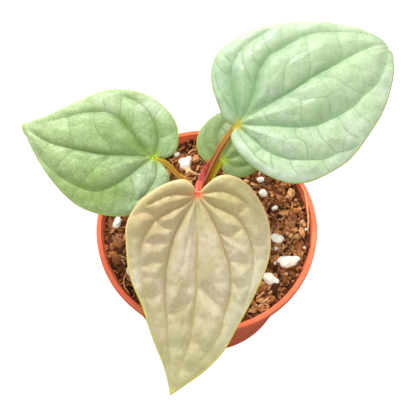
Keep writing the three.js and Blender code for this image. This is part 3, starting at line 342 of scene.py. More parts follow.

# Petioles: routes from the socket in the crown to the blade, and the colours along them
# The stated turn of each stalk's front carries a painted highlight line
PETIOLES = {
    "large": {
        "base_radius": 1.5, "top_radius": 1.15, "ridge": 2.6, "gold": 3.9,
        "route": [(-2.2, 9.5, 57), (-1.3, 10.7, 66), (0.4, 12.2, 74), (2.5, 13.3, 82), (4.7, 13.5, 91),
                  (7.1, 12.9, 100), (9.1, 12, 106.5), (10.2, 12, 108.2)],
        "stops": [(0, (0.42, 0.05, 0.02)), (0.3, (0.46, 0.08, 0.012)), (0.5, (0.54, 0.15, 0.012)),
                  (0.72, (0.72, 0.28, 0.016)), (0.88, (0.94, 0.46, 0.03)), (1, (0.9, 0.6, 0.06))],
    },
    "left": {
        "base_radius": 1.2, "top_radius": 0.9, "ridge": 3.2, "gold": 4.2,
        "route": [(-6.2, 7.9, 57), (-6.6, 10.5, 62), (-7.7, 12.7, 66), (-10.7, 13.3, 71),
                  (-12.6, 13.4, 75.5), (-14.1, 13.3, 79.2), (-16.2, 13.1, 82.2), (-18.4, 13, 83.4)],
        "stops": [(0, (0.3, 0.12, 0.02)), (0.35, (0.7, 0.44, 0.025)), (0.7, (0.95, 0.74, 0.04)),
                  (1, (0.85, 0.9, 0.05))],
    },
    "new": {
        "base_radius": 1.3, "top_radius": 1.05, "ridge": 2.6, "gold": 4.6,
        "route": [(-3, 4.3, 57), (-2.7, 4.9, 68), (-2.6, 4.5, 78), (-2.6, 2.8, 85), (-2.8, -0.4, 88.9),
                  (-3.1, -3.5, 90), (-3.1, -4.6, 90.2)],
        "stops": [(0, (0.5, 0.05, 0.05)), (0.6, (0.8, 0.1, 0.11)), (0.9, (0.85, 0.08, 0.08)),
                  (1, (0.85, 0.06, 0.01))],
    },
    "small": {
        "base_radius": 1.15, "top_radius": 0.85, "ridge": 3.6, "gold": 4.9,
        "route": [(0.7, 7.4, 57), (1, 11.1, 63.5), (2.3, 14, 69.5), (4.2, 15.7, 73.8), (5.9, 16.9, 75.8)],
        "stops": [(0, (0.5, 0.46, 0.02)), (0.5, (0.76, 0.84, 0.015)), (1, (0.74, 0.85, 0.04))],
    },
}

# Sheaths that stand against a petiole, over the stated part of its route
CATAPHYLLS = {
    "new": {"petiole": "large", "from": 0.08, "to": 0.48, "facing": 200, "half_angle": 72, "flare": 0.7,
            "colors": [(236, 58, 74), (252, 136, 132), (204, 34, 44)]},
    "dry": {"petiole": "left", "from": 0.2, "to": 0.62, "facing": 235, "half_angle": 62, "flare": 0.9,
            "colors": [(128, 104, 44), (96, 72, 32), (170, 140, 70)]},
}
SHEATH = {"thickness": 0.5, "gap": 0.4, "tip_share": 0.1, "width_power": 1.6}

CROWN = {
    "x": -2.7, "y": 7.2, "radius": 5.4,
    "profile": [(0, 45), (0.5, 45), (0.7, 49), (0.92, 52.6), (1, 54.6), (0.94, 56), (1, 57.6),
                (0.92, 59.4), (0.5, 60.4), (0, 60.4)],
}
# Roots: turn in degrees, reach, and height of the tip
ROOTS = [(23, 9, 22), (113, 12, 27), (203, 9, 32), (293, 12, 22)]

# Grains: x, y, length, width, height, turn in degrees, and 1 for an elbow of two lumps
PERLITE = [
    (-8.7, 27.6, 5.2, 5, 4, 20, 1), (-11.6, 31.9, 2.8, 2.2, 2.2, 60, 0), (-33, 2.9, 5.4, 3, 3, 68, 1),
    (20, 20.5, 3, 2.3, 2.2, 10, 0), (20.9, 14.8, 3.6, 3, 2.8, -35, 0), (25.1, 8.6, 3, 1.8, 1.8, 15, 0),
    (25.7, -2.8, 5.4, 3.8, 3.4, -12, 0), (28.9, -12.2, 7.6, 4.6, 4.2, 0, 1),
    (22.4, -18.8, 5.4, 4, 3.6, -40, 1), (-24, 22, 4.6, 3.4, 3, 40, 0), (-27, -15.5, 5, 3.6, 3.2, 80, 1),
    (-11, -25, 6, 4, 3.6, 10, 0), (5.5, -30.5, 4.2, 3.4, 3, -20, 0), (9.5, 31, 4.4, 3, 2.8, 50, 0),
]
# Bark chips: x, y, length, width, height, turn and tilt in degrees
CHIPS = [
    (-32.4, -4.8, 7, 4.2, 1.5, -38, 9), (31.2, 2.5, 4.6, 3, 1.3, 72, -6), (11, -24.5, 7.4, 4, 1.6, 28, 8),
    (-18.5, 25.5, 6.2, 3.4, 1.3, -50, -8), (1.5, 33.4, 6.2, 3, 1.3, 6, 6),
    (-17.5, -13.5, 6.8, 4.4, 1.5, 64, 8),
]
# Twigs: x, y, length, radius, turn in degrees
TWIGS = [(19.6, 18, 8, 0.65, 20), (-22.5, -24.5, 10, 0.6, -58)]

# Low hills of the mix, and the bank in which it lies against the wall: between two radii, and higher on
# the side towards the stated turn
HILLS = {"seed": 83, "count": 90, "reach": 35}
BANK = {"from": 33.5, "to": 37.95, "rise": 3.1, "lean": 0.8, "toward": -0.2}
MIX_EDGE = BANK["to"] - 0.2
# Loose lumps: least and greatest length, share of the greatest kept free of the wall, width and height as
# shares of the length, rows and columns, and how far they tilt
LOOSE = {
    "chunks": {"long": (2.0, 5.4), "clear": 0.35, "wide": (0.4, 0.8), "tall": (0.3, 0.6), "grid": (4, 7),
               "tilt": 0.5},
    "splinters": {"long": (2.2, 6.5), "clear": 0.35, "wide": (0.14, 0.34), "tall": (0.1, 0.24),
                  "grid": (4, 5), "tilt": 0.3},
    "crumbs": {"long": (0.7, 2.2), "clear": 0.22, "wide": (0.4, 0.9), "tall": (0.3, 0.8), "grid": (3, 5),
               "tilt": 0.6},
}
CRUMB_STOPS = [
    (0, (34, 18, 11)), (0.18, (92, 52, 30)), (0.42, (158, 98, 56)), (0.64, (206, 136, 80)),
    (0.85, (234, 178, 120)), (1, (250, 222, 178)),
]
# Strands that the photograph shows one by one: points x, y and lift over the mix, radius, and shade
STRANDS = [
    ([(-10.2, 25.7, 0.8), (-6.8, 24.4, 1.3), (-3, 22.4, 0.8)], 0.42, 0.92),
    ([(-7.3, 31.7, 0.9), (-5.8, 33, 1.2), (-3.9, 33.5, 0.8)], 0.4, 0.86),
    ([(-28.9, -16.7, 0.9), (-29.5, -19.8, 1.2), (-29, -22.8, 1.2), (-27.1, -25.4, 0.8)], 0.3, 0.8),
    ([(17.5, -26.4, 0.8), (20.4, -24.1, 1.1)], 0.4, 0.84),
    ([(19.6, -28.2, 0.7), (22.5, -25.6, 0.9)], 0.26, 0.95),
    ([(15.3, -31.2, 0.8), (17.6, -30.1, 1), (19.6, -28.2, 0.7)], 0.22, 0.95),
    ([(35.4, 16, 1.4), (36.6, 9.8, 1.9), (36.9, 3.8, 1.9), (36.6, -2.2, 1.4)], 0.32, 0.88),
    ([(19.4, -31.4, 0.9), (21.3, -31.2, 1.2), (21.5, -29.8, 1.3), (20, -29, 1.2), (18.8, -30.2, 0.9)],
     0.3, 0.74),
    ([(-3.5, 17.5, 0.7), (3, 19.5, 1.2), (8.5, 24.5, 0.8)], 0.24, 0.6),
    ([(10, -20, 0.8), (17, -17.5, 1.2), (21, -10, 0.9)], 0.22, 0.7),
    ([(-34, 6, 0.9), (-33.5, 13, 1.3), (-29, 18, 0.9)], 0.26, 0.8),
]
# Small round beads of perlite and husk: x, y, size, and shade from husk at 0 to perlite at 1
BEADS = [
    (30.7, -2, 2.0, 0.35), (32.9, -2.4, 2.2, 0.3), (36.1, 0, 1.1, 1), (35.4, -7.3, 1.3, 0.9),
    (23.3, -7.6, 1.4, 1), (25.1, -6.8, 1.5, 1), (24.6, -13, 1.2, 1), (-30, 9.5, 1.1, 1),
    (-22.5, -9, 1.2, 0.9), (12.5, 22.5, 1.1, 1), (-18, 15.5, 1.3, 0.9), (3.5, -26, 1.2, 1),
    (30, 14, 1.1, 0.6), (-3.5, -33, 1.3, 1), (-31.5, -12.5, 1, 1), (17.5, -28.5, 1, 0.6),
]

# Camera, from the ellipses of the pot's rim and base in the photograph
CAMERA = {
    "place": (0.392, -139.04, 370.83), "elevation": 65.075, "roll": 0.2387, "lens_px": 950,
    "image_px": 416, "sensor": 36,
}


# Settings that a user may change


class PotSettings(bpy.types.PropertyGroup):
    """Colours and finish of the plastic pot."""

    color: FloatVectorProperty(
        name="Pot colour", description="Colour of the moulded plastic", subtype="COLOR", size=3,
        default=(0.92, 0.178, 0.08), min=0, max=1,
    )
    roughness: FloatProperty(
        name="Pot roughness", description="Roughness of the plastic", subtype="FACTOR", default=0.5,
        min=0, max=1,
    )
    segments: IntProperty(
        name="Pot segments", description="Steps round the pot, a multiple of sixteen", default=208,
        min=64, max=512,
    )


class LeafSettings(bpy.types.PropertyGroup):
    """Relief and thickness of the blades."""

    quilt: FloatProperty(
        name="Quilt height", description="Height of the cushions between the veins", unit="LENGTH",
        default=0.0011, min=0, max=0.003,
    )
    thickness: FloatProperty(
        name="Blade thickness", description="Thickness of a blade at its midrib", unit="LENGTH",
        default=0.0006, min=0.0003, max=0.002,
    )
    vein_width: FloatProperty(
        name="Vein width", description="Half width of a main vein near the petiole", unit="LENGTH",
        default=0.00042, min=0.0001, max=0.002,
    )


class MixSettings(bpy.types.PropertyGroup):
    """Amounts of the potting mix's parts."""

    crumbs: IntProperty(
        name="Crumbs", description="Number of small bark and husk crumbs", default=5600, min=100, max=9000,
    )
    chunks: IntProperty(
        name="Chunks", description="Number of larger husk chunks", default=1100, min=10, max=3000,
    )
    fibres: IntProperty(
        name="Fibres", description="Number of thin fibres", default=1000, min=10, max=4000,
    )
    splinters: IntProperty(
        name="Splinters", description="Number of thin bark splinters", default=1300, min=10, max=5000,
    )
    seed: IntProperty(
        name="Seed", description="Start of the random draws for the mix", default=83, min=0,
    )


class StudioSettings(bpy.types.PropertyGroup):
    """Lights and floor of the studio."""

    key_power: FloatProperty(
        name="Key light", description="Power of the soft light behind the plant", unit="POWER",
        default=6.2, min=0, max=50,
    )
    key_place: FloatVectorProperty(
        name="Key place", description="Place of the light behind the plant", subtype="TRANSLATION",
        unit="LENGTH", size=3, default=(-0.16, 0.52, 0.44),
    )
    fill_power: FloatProperty(
        name="Fill light", description="Power of the soft light above the front", unit="POWER",
        default=2.3, min=0, max=50,
    )
    fill_place: FloatVectorProperty(
        name="Fill place", description="Place of the light above the front", subtype="TRANSLATION",
        unit="LENGTH", size=3, default=(0.02, -0.2, 0.62),
    )
    ambient: FloatProperty(
        name="Ambient light", description="Strength of the even light from all sides", default=0.45,
        min=0, max=4,
    )
    floor_color: FloatVectorProperty(
        name="Floor colour", description="Colour of the plain floor", subtype="COLOR", size=3,
        default=(0.3, 0.3, 0.3), min=0, max=1,
    )
    floor_glow: FloatProperty(
        name="Floor glow", description="Light that the pale floor gives of itself", default=0.84, min=0,
        max=4,
    )


# Curves and meshes


def seeded_draws(seed):
    """Repeatable draws between 0 and 1: each state is the last one times a factor, modulo a prime."""
    factor, prime = 16807, 2147483647
    state = seed
    while True:
        state = state * factor % prime
        yield state / prime


def spaced(line, count):
    """count points along a polyline, the same length apart."""
    run = np.concatenate([[0], np.cumsum(np.linalg.norm(np.diff(line, axis=0), axis=1))])
    places = np.linspace(0, run[-1], count)
    return np.stack([np.interp(places, run, line[:, k]) for k in range(line.shape[1])], -1)


def cubic(start, end, leaving, arriving, s):
    """The cubic from start to end that sets out with one slope and comes in with the other."""
    return (
        start + leaving * s + (3 * (end - start) - 2 * leaving - arriving) * s**2
        + (2 * (start - end) + leaving + arriving) * s**3
    )


def smooth_outline(points, count):
    """Points on cubics through the given ones, whose slope at each is half the step between its
    neighbours; the ends count twice."""
    p = np.asarray(points, float)
    p = np.vstack([p[:1], p, p[-1:]])
    s = np.linspace(0, 1, 30, endpoint=False)[:, None]
    runs = [cubic(b, c, (c - a) / 2, (d - b) / 2, s) for a, b, c, d in zip(p, p[1:], p[2:], p[3:])]
    return spaced(np.vstack([*runs, p[-1:]]), count)


def smooth_route(points, count):
    """Points on cubics through the given ones, whose slopes weigh each neighbour by the square root of
    its distance, so that the route doesn't swing out."""
    p = np.asarray(points, float)
    p = np.vstack([2 * p[0] - p[1], p, 2 * p[-1] - p[-2]])
    gap = np.linalg.norm(np.diff(p, axis=0), axis=1) ** 0.5
    s = np.linspace(0, 1, 40, endpoint=False)[:, None]
    runs = []
    for i in range(1, len(p) - 2):
        before, here, after = gap[i - 1 : i + 2]
        a, b, c, d = p[i - 1 : i + 3]
        leaving = here * ((b - a) / before - (c - a) / (before + here) + (c - b) / here)
        arriving = here * ((c - b) / here - (d - b) / (here + after) + (d - c) / after)
        runs.append(cubic(b, c, leaving, arriving, s))
    return spaced(np.vstack([*runs, p[-2:-1]]), count)


def unit(vectors):
    """Vectors divided by their lengths."""
    return vectors / np.maximum(np.linalg.norm(vectors, axis=-1, keepdims=True), 1e-12)


def bell(away, width):
    """One at no distance, falling to a third at the width and to nothing soon after: the exponential of
    minus the square."""
    return np.exp(-((away / width) ** 2))


def ripples(points, wavelength, seed):
    """Smooth noise between about -1 and 1: sines along six random directions, summed over three octaves
    of half the wavelength and half the height each."""
    rng = np.random.default_rng(seed)
    total = np.zeros(points.shape[:-1])
    for octave in range(3):
        ways = unit(rng.normal(size=(6, points.shape[-1]))) * (2 * np.pi * 2**octave / wavelength)
        shifts = rng.uniform(0, 2 * np.pi, 6)
        total += np.sin(points @ ways.T + shifts).sum(-1) / (2.4 * 2**octave)
    return total / 1.6


def full_turn(steps):
    """Angles of the steps of a full turn."""
    return np.linspace(0, 2 * np.pi, steps, endpoint=False)


def polar(turn):
    """Unit vectors of the plane: the cosine and sine of each turn."""
    return np.stack([np.cos(turn), np.sin(turn)], -1)


def at_height(flat, z):
    """Points of the plane at one height, or each at its own."""
    return np.concatenate([flat, np.broadcast_to(z, flat.shape[:-1])[..., None]], -1)


def rotations(yaw, pitch, roll):
    """Rotation matrices, one per row: roll about x, then pitch about y, then yaw about z."""
    cy, sy, cp, sp, cr, sr = (f(a) for a in (yaw, pitch, roll) for f in (np.cos, np.sin))
    zero, one = np.zeros_like(cy), np.ones_like(cy)

    def stack(*rows):
        return np.stack([np.stack(row, -1) for row in rows], -2)

    about_z = stack((cy, -sy, zero), (sy, cy, zero), (zero, zero, one))
    about_y = stack((cp, zero, sp), (zero, one, zero), (-sp, zero, cp))
    about_x = stack((one, zero, zero), (zero, cr, -sr), (zero, sr, cr))
    return about_z @ about_y @ about_x


def rotated(points, yaw, pitch=0, roll=0):
    """Points turned by angles in degrees."""
    return points @ rotations(*np.radians([[yaw], [pitch], [roll]]))[0].T


def grid_faces(rows, columns, start=0):
    """Quads between the neighbouring rows and columns of a grid whose last column meets its first."""
    row = np.arange(rows - 1)[:, None] * columns
    column = np.arange(columns)[None, :]
    beside = (column + 1) % columns
    quads = np.stack([row + column, row + beside, row + columns + beside, row + columns + column], -1)
    return quads.reshape(-1, 4) + start


def fan_faces(pole, ring):
    """Triangles from a pole to each step of a ring."""
    return np.stack([np.full(len(ring), pole), ring, np.roll(ring, -1)], -1)


def closed_faces(rows, columns):
    """Faces of a closed form whose points are a pole, rows rings of columns points and another pole."""
    first = 1 + np.arange(columns)
    last = first + (rows - 1) * columns
    fans = [fan_faces(0, first)[:, ::-1], fan_faces(1 + rows * columns, last)]
    return [grid_faces(rows, columns, start=1), np.concatenate(fans)]


def closed_form(first, rings, last):
    """Points and faces of a closed form: a pole, rings of points and another pole."""
    rows, columns, _ = rings.shape
    return np.vstack([[first], rings.reshape(-1, 3), [last]]), closed_faces(rows, columns)


def repeated(faces, count, size):
    """The faces over again for each of count like forms of size points."""
    shift = (np.arange(count) * size)[:, None, None]
    return [(f[None] + shift).reshape(-1, f.shape[1]) for f in faces]


def ball(rows, columns):
    """Directions over a ball, from pole to pole in rows and columns, and the faces between them."""
    height = np.pi * (np.arange(rows) + 1) / (rows + 1)
    ring = polar(2 * np.pi * np.arange(columns) / columns)
    return closed_form([0, 0, 1], at_height(np.sin(height)[:, None, None] * ring,
                                            np.cos(height)[:, None]), [0, 0, -1])


def outward(points, faces):
    """Turns the faces of a closed form round where its volume, the sum of each corner triple's
    determinant, comes out negative."""
    corners = np.concatenate([f[:, [0, k, k + 1]] for f in faces for k in range(1, f.shape[1] - 1)])
    a, b, c = (points[corners[:, k]] for k in range(3))
    volume = np.einsum("ij,ij->i", a, np.cross(b, c)).sum()
    return faces if volume > 0 else [f[:, ::-1] for f in faces]


def welded(points, faces):
    """Joins corners that share a place, to a thousandth of a millimetre."""
    off_the_step = 0.00037
    _, first, where = np.unique(np.round(points + off_the_step, 3), axis=0, return_index=True,
                                return_inverse=True)
    where = where.ravel()
    return points[first], [where[f] for f in faces]


def check_closed(name, faces):
    """Raises unless every edge is run once each way."""
    edges = np.concatenate([np.stack([f, np.roll(f, -1, 1)], -1).reshape(-1, 2) for f in faces])
    forward, backward = np.unique(edges, axis=0), np.unique(edges[:, ::-1], axis=0)
    if len(forward) != len(edges) or not np.array_equal(forward, backward):
        raise RuntimeError(f"the faces of {name} don't close")


def put_piece(name, points, faces, material, slot, replaces=(), values=None, uv=None, smooth=True):
    """Puts whole arrays of corners, in millimetres, and faces into a mesh, gives its corners the named
    values, one each or one for all, and lets the piece ride with the object."""
    faces = outward(points, faces)
    check_closed(name, faces)
    mesh = bpy.data.meshes.new(name)
    loops = np.concatenate([f.ravel() for f in faces]).astype(np.int32)
    sizes = np.concatenate([np.full(len(f), f.shape[1]) for f in faces]).astype(np.int32)
    mesh.vertices.add(len(points))
    mesh.vertices.foreach_set("co", (points * MM).astype(np.float32).ravel())
    mesh.loops.add(len(loops))
    mesh.loops.foreach_set("vertex_index", loops)
    mesh.polygons.add(len(sizes))
    mesh.polygons.foreach_set("loop_start", np.concatenate([[0], np.cumsum(sizes)[:-1]]).astype(np.int32))
    mesh.polygons.foreach_set("loop_total", sizes)
    mesh.polygons.foreach_set("use_smooth", np.full(len(sizes), smooth))
    for key, value in (values or {}).items():
        attribute = mesh.attributes.new(key, "FLOAT", "POINT")
        attribute.data.foreach_set("value", np.broadcast_to(value, len(points)).astype(np.float32))
    if uv is not None:
        layer = mesh.uv_layers.new(name="UVMap")
        layer.data.foreach_set("uv", uv[loops].astype(np.float32).ravel())
    mesh.update(calc_edges=True)
    if mesh.validate():
        raise RuntimeError(f"the mesh of {name} has faces that fall together")
    mesh.materials.append(material)
    piece = bpy.data.objects.new(name, mesh)
    bpy.context.scene.collection.objects.link(piece)
    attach(piece, BODY)
    if replaces:
        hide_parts(*replaces)
    return piece


def sweep(centres, radii, sides, section=None):
    """Closed tubes along paths. A point is the path's, plus the radius times the cosine of the turn along
    one side and its sine along the other; each ring's first side is the last one's less its share along
    the path. centres is (tubes, rings, 3) and radii (tubes, rings); section scales the radius by turn.
    Returns the points, their faces, and the share along and the turn of each point of one tube."""
    tubes, rings, _ = centres.shape
    tangent = unit(np.gradient(centres, axis=1))
    rough = np.where(np.abs(tangent[:, 0, 2:]) > 0.8, [[1.0, 0, 0]], [[0, 0, 1.0]])
    side = unit(np.cross(tangent[:, 0], rough))
    turn = full_turn(sides)
    shape = np.ones(sides) if section is None else section(turn)
    body = np.empty((tubes, rings, sides, 3))
    for ring in range(rings):
        along = tangent[:, ring]
        side = unit(side - along * np.sum(side * along, -1, keepdims=True))
        over = np.cross(along, side)
        ways = side[:, None] * np.cos(turn)[:, None] + over[:, None] * np.sin(turn)[:, None]
        body[:, ring] = centres[:, ring, None] + ways * (radii[:, ring, None] * shape)[..., None]
    points = np.concatenate([centres[:, :1], body.reshape(tubes, -1, 3), centres[:, -1:]], 1)
    faces = repeated(closed_faces(rings, sides), tubes, points.shape[1])
    share = np.concatenate([[0], np.repeat(np.linspace(0, 1, rings), sides), [1]])
    around = np.concatenate([[0], np.tile(turn, rings), [0]])
    return points.reshape(-1, 3), faces, share, around


def turned(profile, segments):
    """Rings of a surface of revolution: radius times the cosine and sine of the turn, and the height."""
    profile = np.asarray(profile, float)
    return at_height(profile[:, None, :1] * polar(full_turn(segments)), profile[:, 1:])


# Leaf blades


def column(table, name):
    """One leaf's values from a table with a column for each leaf."""
    return {key: row[LEAF_NAMES.index(name)] for key, row in table.items()}


def leaf_surface(leaf, flat, lift):
    """A blade's points for flat ones, u along and v across it. The midrib turns by pitch, bend and curl as
    it is walked; across it the blade leans by roll and twist and bends by fold and droop; lift goes up
    from there."""
    u, v = flat.T
    length = leaf["length"]
    t = np.linspace(-0.25, 1.08, 534)
    late = np.clip((t - leaf["curl_start"]) / (1 - leaf["curl_start"]), 0, None)
    angle = np.radians(leaf["pitch"] + leaf["bend"] * t + leaf["curl"] * late**2)
    middle = (angle[1:] + angle[:-1]) / 2
    step = (t[1] - t[0]) * length
    along = np.concatenate([[0], np.cumsum(np.cos(middle))]) * step
    rise = np.concatenate([[0], np.cumsum(np.sin(middle))]) * step
    share = u / length
    x = np.interp(share, t, along) - np.interp(0, t, along)
    z = np.interp(share, t, rise) - np.interp(0, t, rise)
    angle = np.interp(share, t, angle)[:, None]
    lean = np.radians(leaf["roll"] + leaf["twist"] * share)[:, None]
    forward = np.array([*polar(math.radians(leaf["heading"])), 0])
    sideways = np.array([-forward[1], forward[0], 0])
    up = np.array([0, 0, 1.0])
    normal = -np.sin(angle) * forward + np.cos(angle) * up
    across = sideways * np.cos(lean) + normal * np.sin(lean)
    over = normal * np.cos(lean) - sideways * np.sin(lean)
    fold = math.radians(leaf["fold"])
    droop = -math.radians(leaf["droop"]) / leaf["half_width"]
    slope = fold + droop * np.abs(v)
    out = np.sign(v) * (np.sin(slope) - math.sin(fold)) / droop
    out = out + leaf["drift"] * np.clip(share, 0, None) ** 3
    raised = (math.cos(fold) - np.cos(slope)) / droop + lift
    middle_line = np.array(leaf["place"], float) + x[:, None] * forward + z[:, None] * up
    return middle_line + across * out[:, None] + over * raised[:, None]


def distance_to_lines(spots, lines, taper=0.0):
    """Distance of each spot to the nearest of the polylines; taper makes it grow towards a line's end."""
    nearest = np.full(len(spots), 1e9)
    for line in lines:
        for step, (a, b) in enumerate(zip(line, line[1:])):
            way = b - a
            share = np.clip((spots - a) @ way / max(way @ way, 1e-9), 0, 1)
            away = np.linalg.norm(spots - a - share[:, None] * way, axis=1)
            run = (step + share) / (len(line) - 1)
            nearest = np.minimum(nearest, away * (1 + taper * run**6))
    return nearest


def softened(values, times):
    """Rings of values, each averaged with its neighbours round and across the rings, some times over."""
    for _ in range(times):
        values = (2 * values + np.roll(values, 1, 1) + np.roll(values, -1, 1)) / 4
        beyond = np.vstack([values[:1], values, values[-1:]])
        values = (beyond[:-2] + 2 * values + beyond[2:]) / 4
    return values.ravel()


def leaf_rings(name, leaf):
    """A blade's outline, the shares of the way out to it of the rings that are drawn in from it, and all
    their spots, the middle first."""
    right, left = (smooth_outline(LEAF_SIDES[name, side], leaf["around"]) for side in ("right", "left"))
    outline = np.vstack([right, left[-2::-1]])
    shares = np.linspace(0, 1, leaf["rings"] + 1)[1:] ** 0.92
    shares[-1] = 0.993
    middle = np.array([leaf["middle"], 0.0])
    spots = middle + (outline - middle)[None] * shares[:, None, None]
    return outline, shares, np.vstack([middle, spots.reshape(-1, 2)])


def leaf_fields(name, leaf, settings, outline, shares, spots):
    """What varies over a blade. Cushions rise from each vein as one less the exponential of minus the
    distance over a width, and are then softened; veins and the midrib are bells of that distance; each soft
    place of painted shade or painted light is a bell of its own reach, and fold is painted shade along the
    main veins near the petiole. Returns what the colours read, by spot and by outline point, and the
    heights of the relief, the raised midrib and the ridges below."""
    count = len(outline)
    share = np.concatenate([[0], np.repeat(shares, count)])
    away = [
        distance_to_lines(spots, [smooth_outline(p, 3 * len(p)) for p in LEAF_VEINS[name, kind]], taper)
        for kind, taper in ((1, 2.0), (2, 0.0), (3, 0.0))
    ]
    cushion = sum(
        weight * (1 - np.exp(-((far / width) ** power)))
        for far, (weight, width, power) in zip(np.minimum.accumulate(away), LEAF_RELIEF[name])
    )
    cushion[1:] = softened(cushion[1:].reshape(-1, count), leaf["soften"])
    reach = np.linalg.norm(spots, axis=1)
    far_share = np.clip(reach / leaf["length"], 0, 1)
    wide = settings.vein_width / MM * leaf["vein_scale"] * (1.2 - 0.7 * far_share)
    vein = np.max([
        strength * bell(far, wide * size) for far, strength, size in zip(away, (1, 0.7, 0.4), (1, 0.8, 0.62))
    ], 0)
    midrib = distance_to_lines(spots, [smooth_outline(LEAF_VEINS[name, 1][0], 40)])
    rib = bell(midrib, 0.62 * wide) * np.clip(1.15 - leaf["rib_fade"] * far_share, 0, 1)
    # Painted shade where positive, painted light where negative
    tone = np.zeros(len(spots))
    for u, v, long, broad, strength in LEAF_PAINTED_SHADING[name]:
        tone += strength * bell(spots[:, 0] - u, long) * bell(spots[:, 1] - v, broad)
    # Painted shade along the main veins near the petiole
    fold = np.exp(-away[0] / 3.2) * np.clip(1.15 - 1.2 * far_share, 0, 1)
    middle = spots[0]
    spans = np.linalg.norm(outline - middle, axis=1)
    inward = np.concatenate([[spans.mean()], ((1 - shares[:, None]) * spans).ravel()])
    along, across = leaf["length"], leaf["half_width"]
    fields = {
        "vein": (vein, 0),
        "rib": (rib, 0),
        "fold": (fold, 0),
        "tone": (tone, tone[-count:]),
        # Painted sheen towards the outline
        "rim": (share**5, 1),
        "cushion": (cushion, cushion[-count:]),
        "margin": (bell(inward, leaf["margin_width"]), 1),
        "along": (spots[:, 0] / along, outline[:, 0] / along),
        "across": (spots[:, 1] / across, outline[:, 1] / across),
        "heart": (np.exp(-reach / 6), np.exp(-np.linalg.norm(outline, axis=1) / 6)),
    }
    relief = settings.quilt / MM * leaf["relief_height"] * cushion * (1 - share**7)
    relief = relief + leaf["wave"] * ripples(spots, 17, leaf["wave_seed"]) * (0.3 + 0.7 * share**2)
    relief = relief + 0.05 * ripples(spots, 5, 7) * (1 - share**4)
    ridges = 0.32 * bell(away[0], 0.5) * (1 - 0.6 * far_share) + 0.14 * bell(away[1], 0.4)
    return fields, relief, leaf["rib_height"] * rib, ridges * (1 - share**8)


def build_blade(name, settings):
    """A blade: rings from its outline to a point on the midrib, on both faces, with every third of them
    below, joined by the outline itself."""
    leaf = column(LEAF_FORM, name)
    outline, shares, spots = leaf_rings(name, leaf)
    fields, relief, rib, ridges = leaf_fields(name, leaf, settings, outline, shares, spots)
    rings, count = len(shares), len(outline)
    share = np.concatenate([[0], np.repeat(shares, count)])
    half = settings.thickness / MM / 2 * (1 - 0.35 * share**6)
    kept = np.arange(rings - 1, -1, -3)[::-1]
    under = np.concatenate([[0], (1 + kept[:, None] * count + np.arange(count)).ravel()])
    points = np.vstack([
        leaf_surface(leaf, spots, relief + half + rib),
        leaf_surface(leaf, outline, relief[-count:]),
        leaf_surface(leaf, spots, relief - half - ridges)[under],
    ])
    edge_start = len(spots)
    below_start = edge_start + count
    ring = np.arange(count)
    beside = (ring + 1) % count
    last = below_start + 1 + (len(kept) - 1) * count
    faces = [
        fan_faces(0, 1 + ring)[:, ::-1],
        grid_faces(rings + 1, count, start=1),
        np.stack([edge_start + ring, edge_start + beside, last + beside, last + ring], -1),
        fan_faces(below_start, below_start + 1 + ring),
        grid_faces(len(kept), count, start=below_start + 1)[:, ::-1],
    ]
    values = {
        key: np.concatenate([value, at_edge + np.zeros(count), value[under]])
        for key, (value, at_edge) in fields.items()
    }
    values["under"] = np.repeat([0, 0.3, 1], [edge_start, count, len(under)])
    uv = np.vstack([spots, outline, spots[under]]) / 100 + 0.5
    node = f"blade_{name}"
    put_piece(f"leaf_{name}", points, faces, leaf_material(name), node, [node], values, uv)


# Materials

WHITE = (1.0, 1.0, 1.0, 1.0)


def shade_of(red, green, blue):
    """A colour given in screen steps from 0 to 255, as the linear colour that a shader reads."""
    steps = np.array([red, green, blue]) / 255
    linear = np.where(steps <= 0.04045, steps / 12.92, ((steps + 0.055) / 1.055) ** 2.4)
    return (*(float(part) for part in linear), 1.0)


def add_node(tree, kind, inputs=None, **settings):
    """A node with its settings, and its inputs set to numbers or linked to other nodes' outputs."""
    node = tree.nodes.new(kind)
    for key, value in settings.items():
        setattr(node, key, value)
    for key, value in (inputs or {}).items():
        if isinstance(value, bpy.types.NodeSocket):
            tree.links.new(value, node.inputs[key])
        else:
            node.inputs[key].default_value = value
    return node


def mixed(tree, factor, first, second, blend="MIX"):
    """Colour that goes from first to second as factor goes from 0 to 1."""
    node = add_node(tree, "ShaderNodeMix", {0: factor, 6: first, 7: second}, data_type="RGBA",
                    blend_type=blend)
    return node.outputs[2]


def tinted(tree, color, red, green, blue):
    """A colour multiplied by another."""
    return mixed(tree, 1.0, color, (red, green, blue, 1), "MULTIPLY")


def maths(tree, operation, *values):
    """A number worked out from others."""
    return add_node(tree, "ShaderNodeMath", dict(enumerate(values)), operation=operation).outputs[0]


def times(tree, first, second):
    """The product of two numbers."""
    return maths(tree, "MULTIPLY", first, second)


def spread(tree, value, low, high, to_low=0.0, to_high=1.0):
    """A number moved from one range to another, smoothly and held at its ends."""
    node = add_node(
        tree, "ShaderNodeMapRange",
        {"Value": value, "From Min": low, "From Max": high, "To Min": to_low, "To Max": to_high},
        interpolation_type="SMOOTHSTEP",
    )
    return node.outputs["Result"]


def ramp(tree, value, stops):
    """Colour along a list of stops."""
    node = add_node(tree, "ShaderNodeValToRGB", {"Fac": value})
    elements = node.color_ramp.elements
    while len(elements) < len(stops):
        elements.new(0.5)
    for element, (place, color) in zip(elements, stops):
        element.position = place
        element.color = tuple(color)[:3] + (1.0,)
    return node.outputs["Color"]


def own_value(tree, name):
    """A piece's own attribute."""
    return add_node(tree, "ShaderNodeAttribute", attribute_name=name).outputs["Fac"]


def place_of(tree, kind="Object"):
    """Object coordinates or the piece's own UV map."""
    return add_node(tree, "ShaderNodeTexCoord").outputs[kind]


def new_material(name, **numbers):
    """A material with one Principled shader, whose numbers are set on its own sockets."""
    material = bpy.data.materials.new(name)
    material.use_nodes = True
    tree = material.node_tree
    tree.nodes.clear()
    shader = add_node(tree, "ShaderNodeBsdfPrincipled")
    for key, value in numbers.items():
        shader.inputs[key.replace("_", " ")].default_value = value
    add_node(tree, "ShaderNodeOutputMaterial", {"Surface": shader.outputs["BSDF"]})
    return material, tree, shader


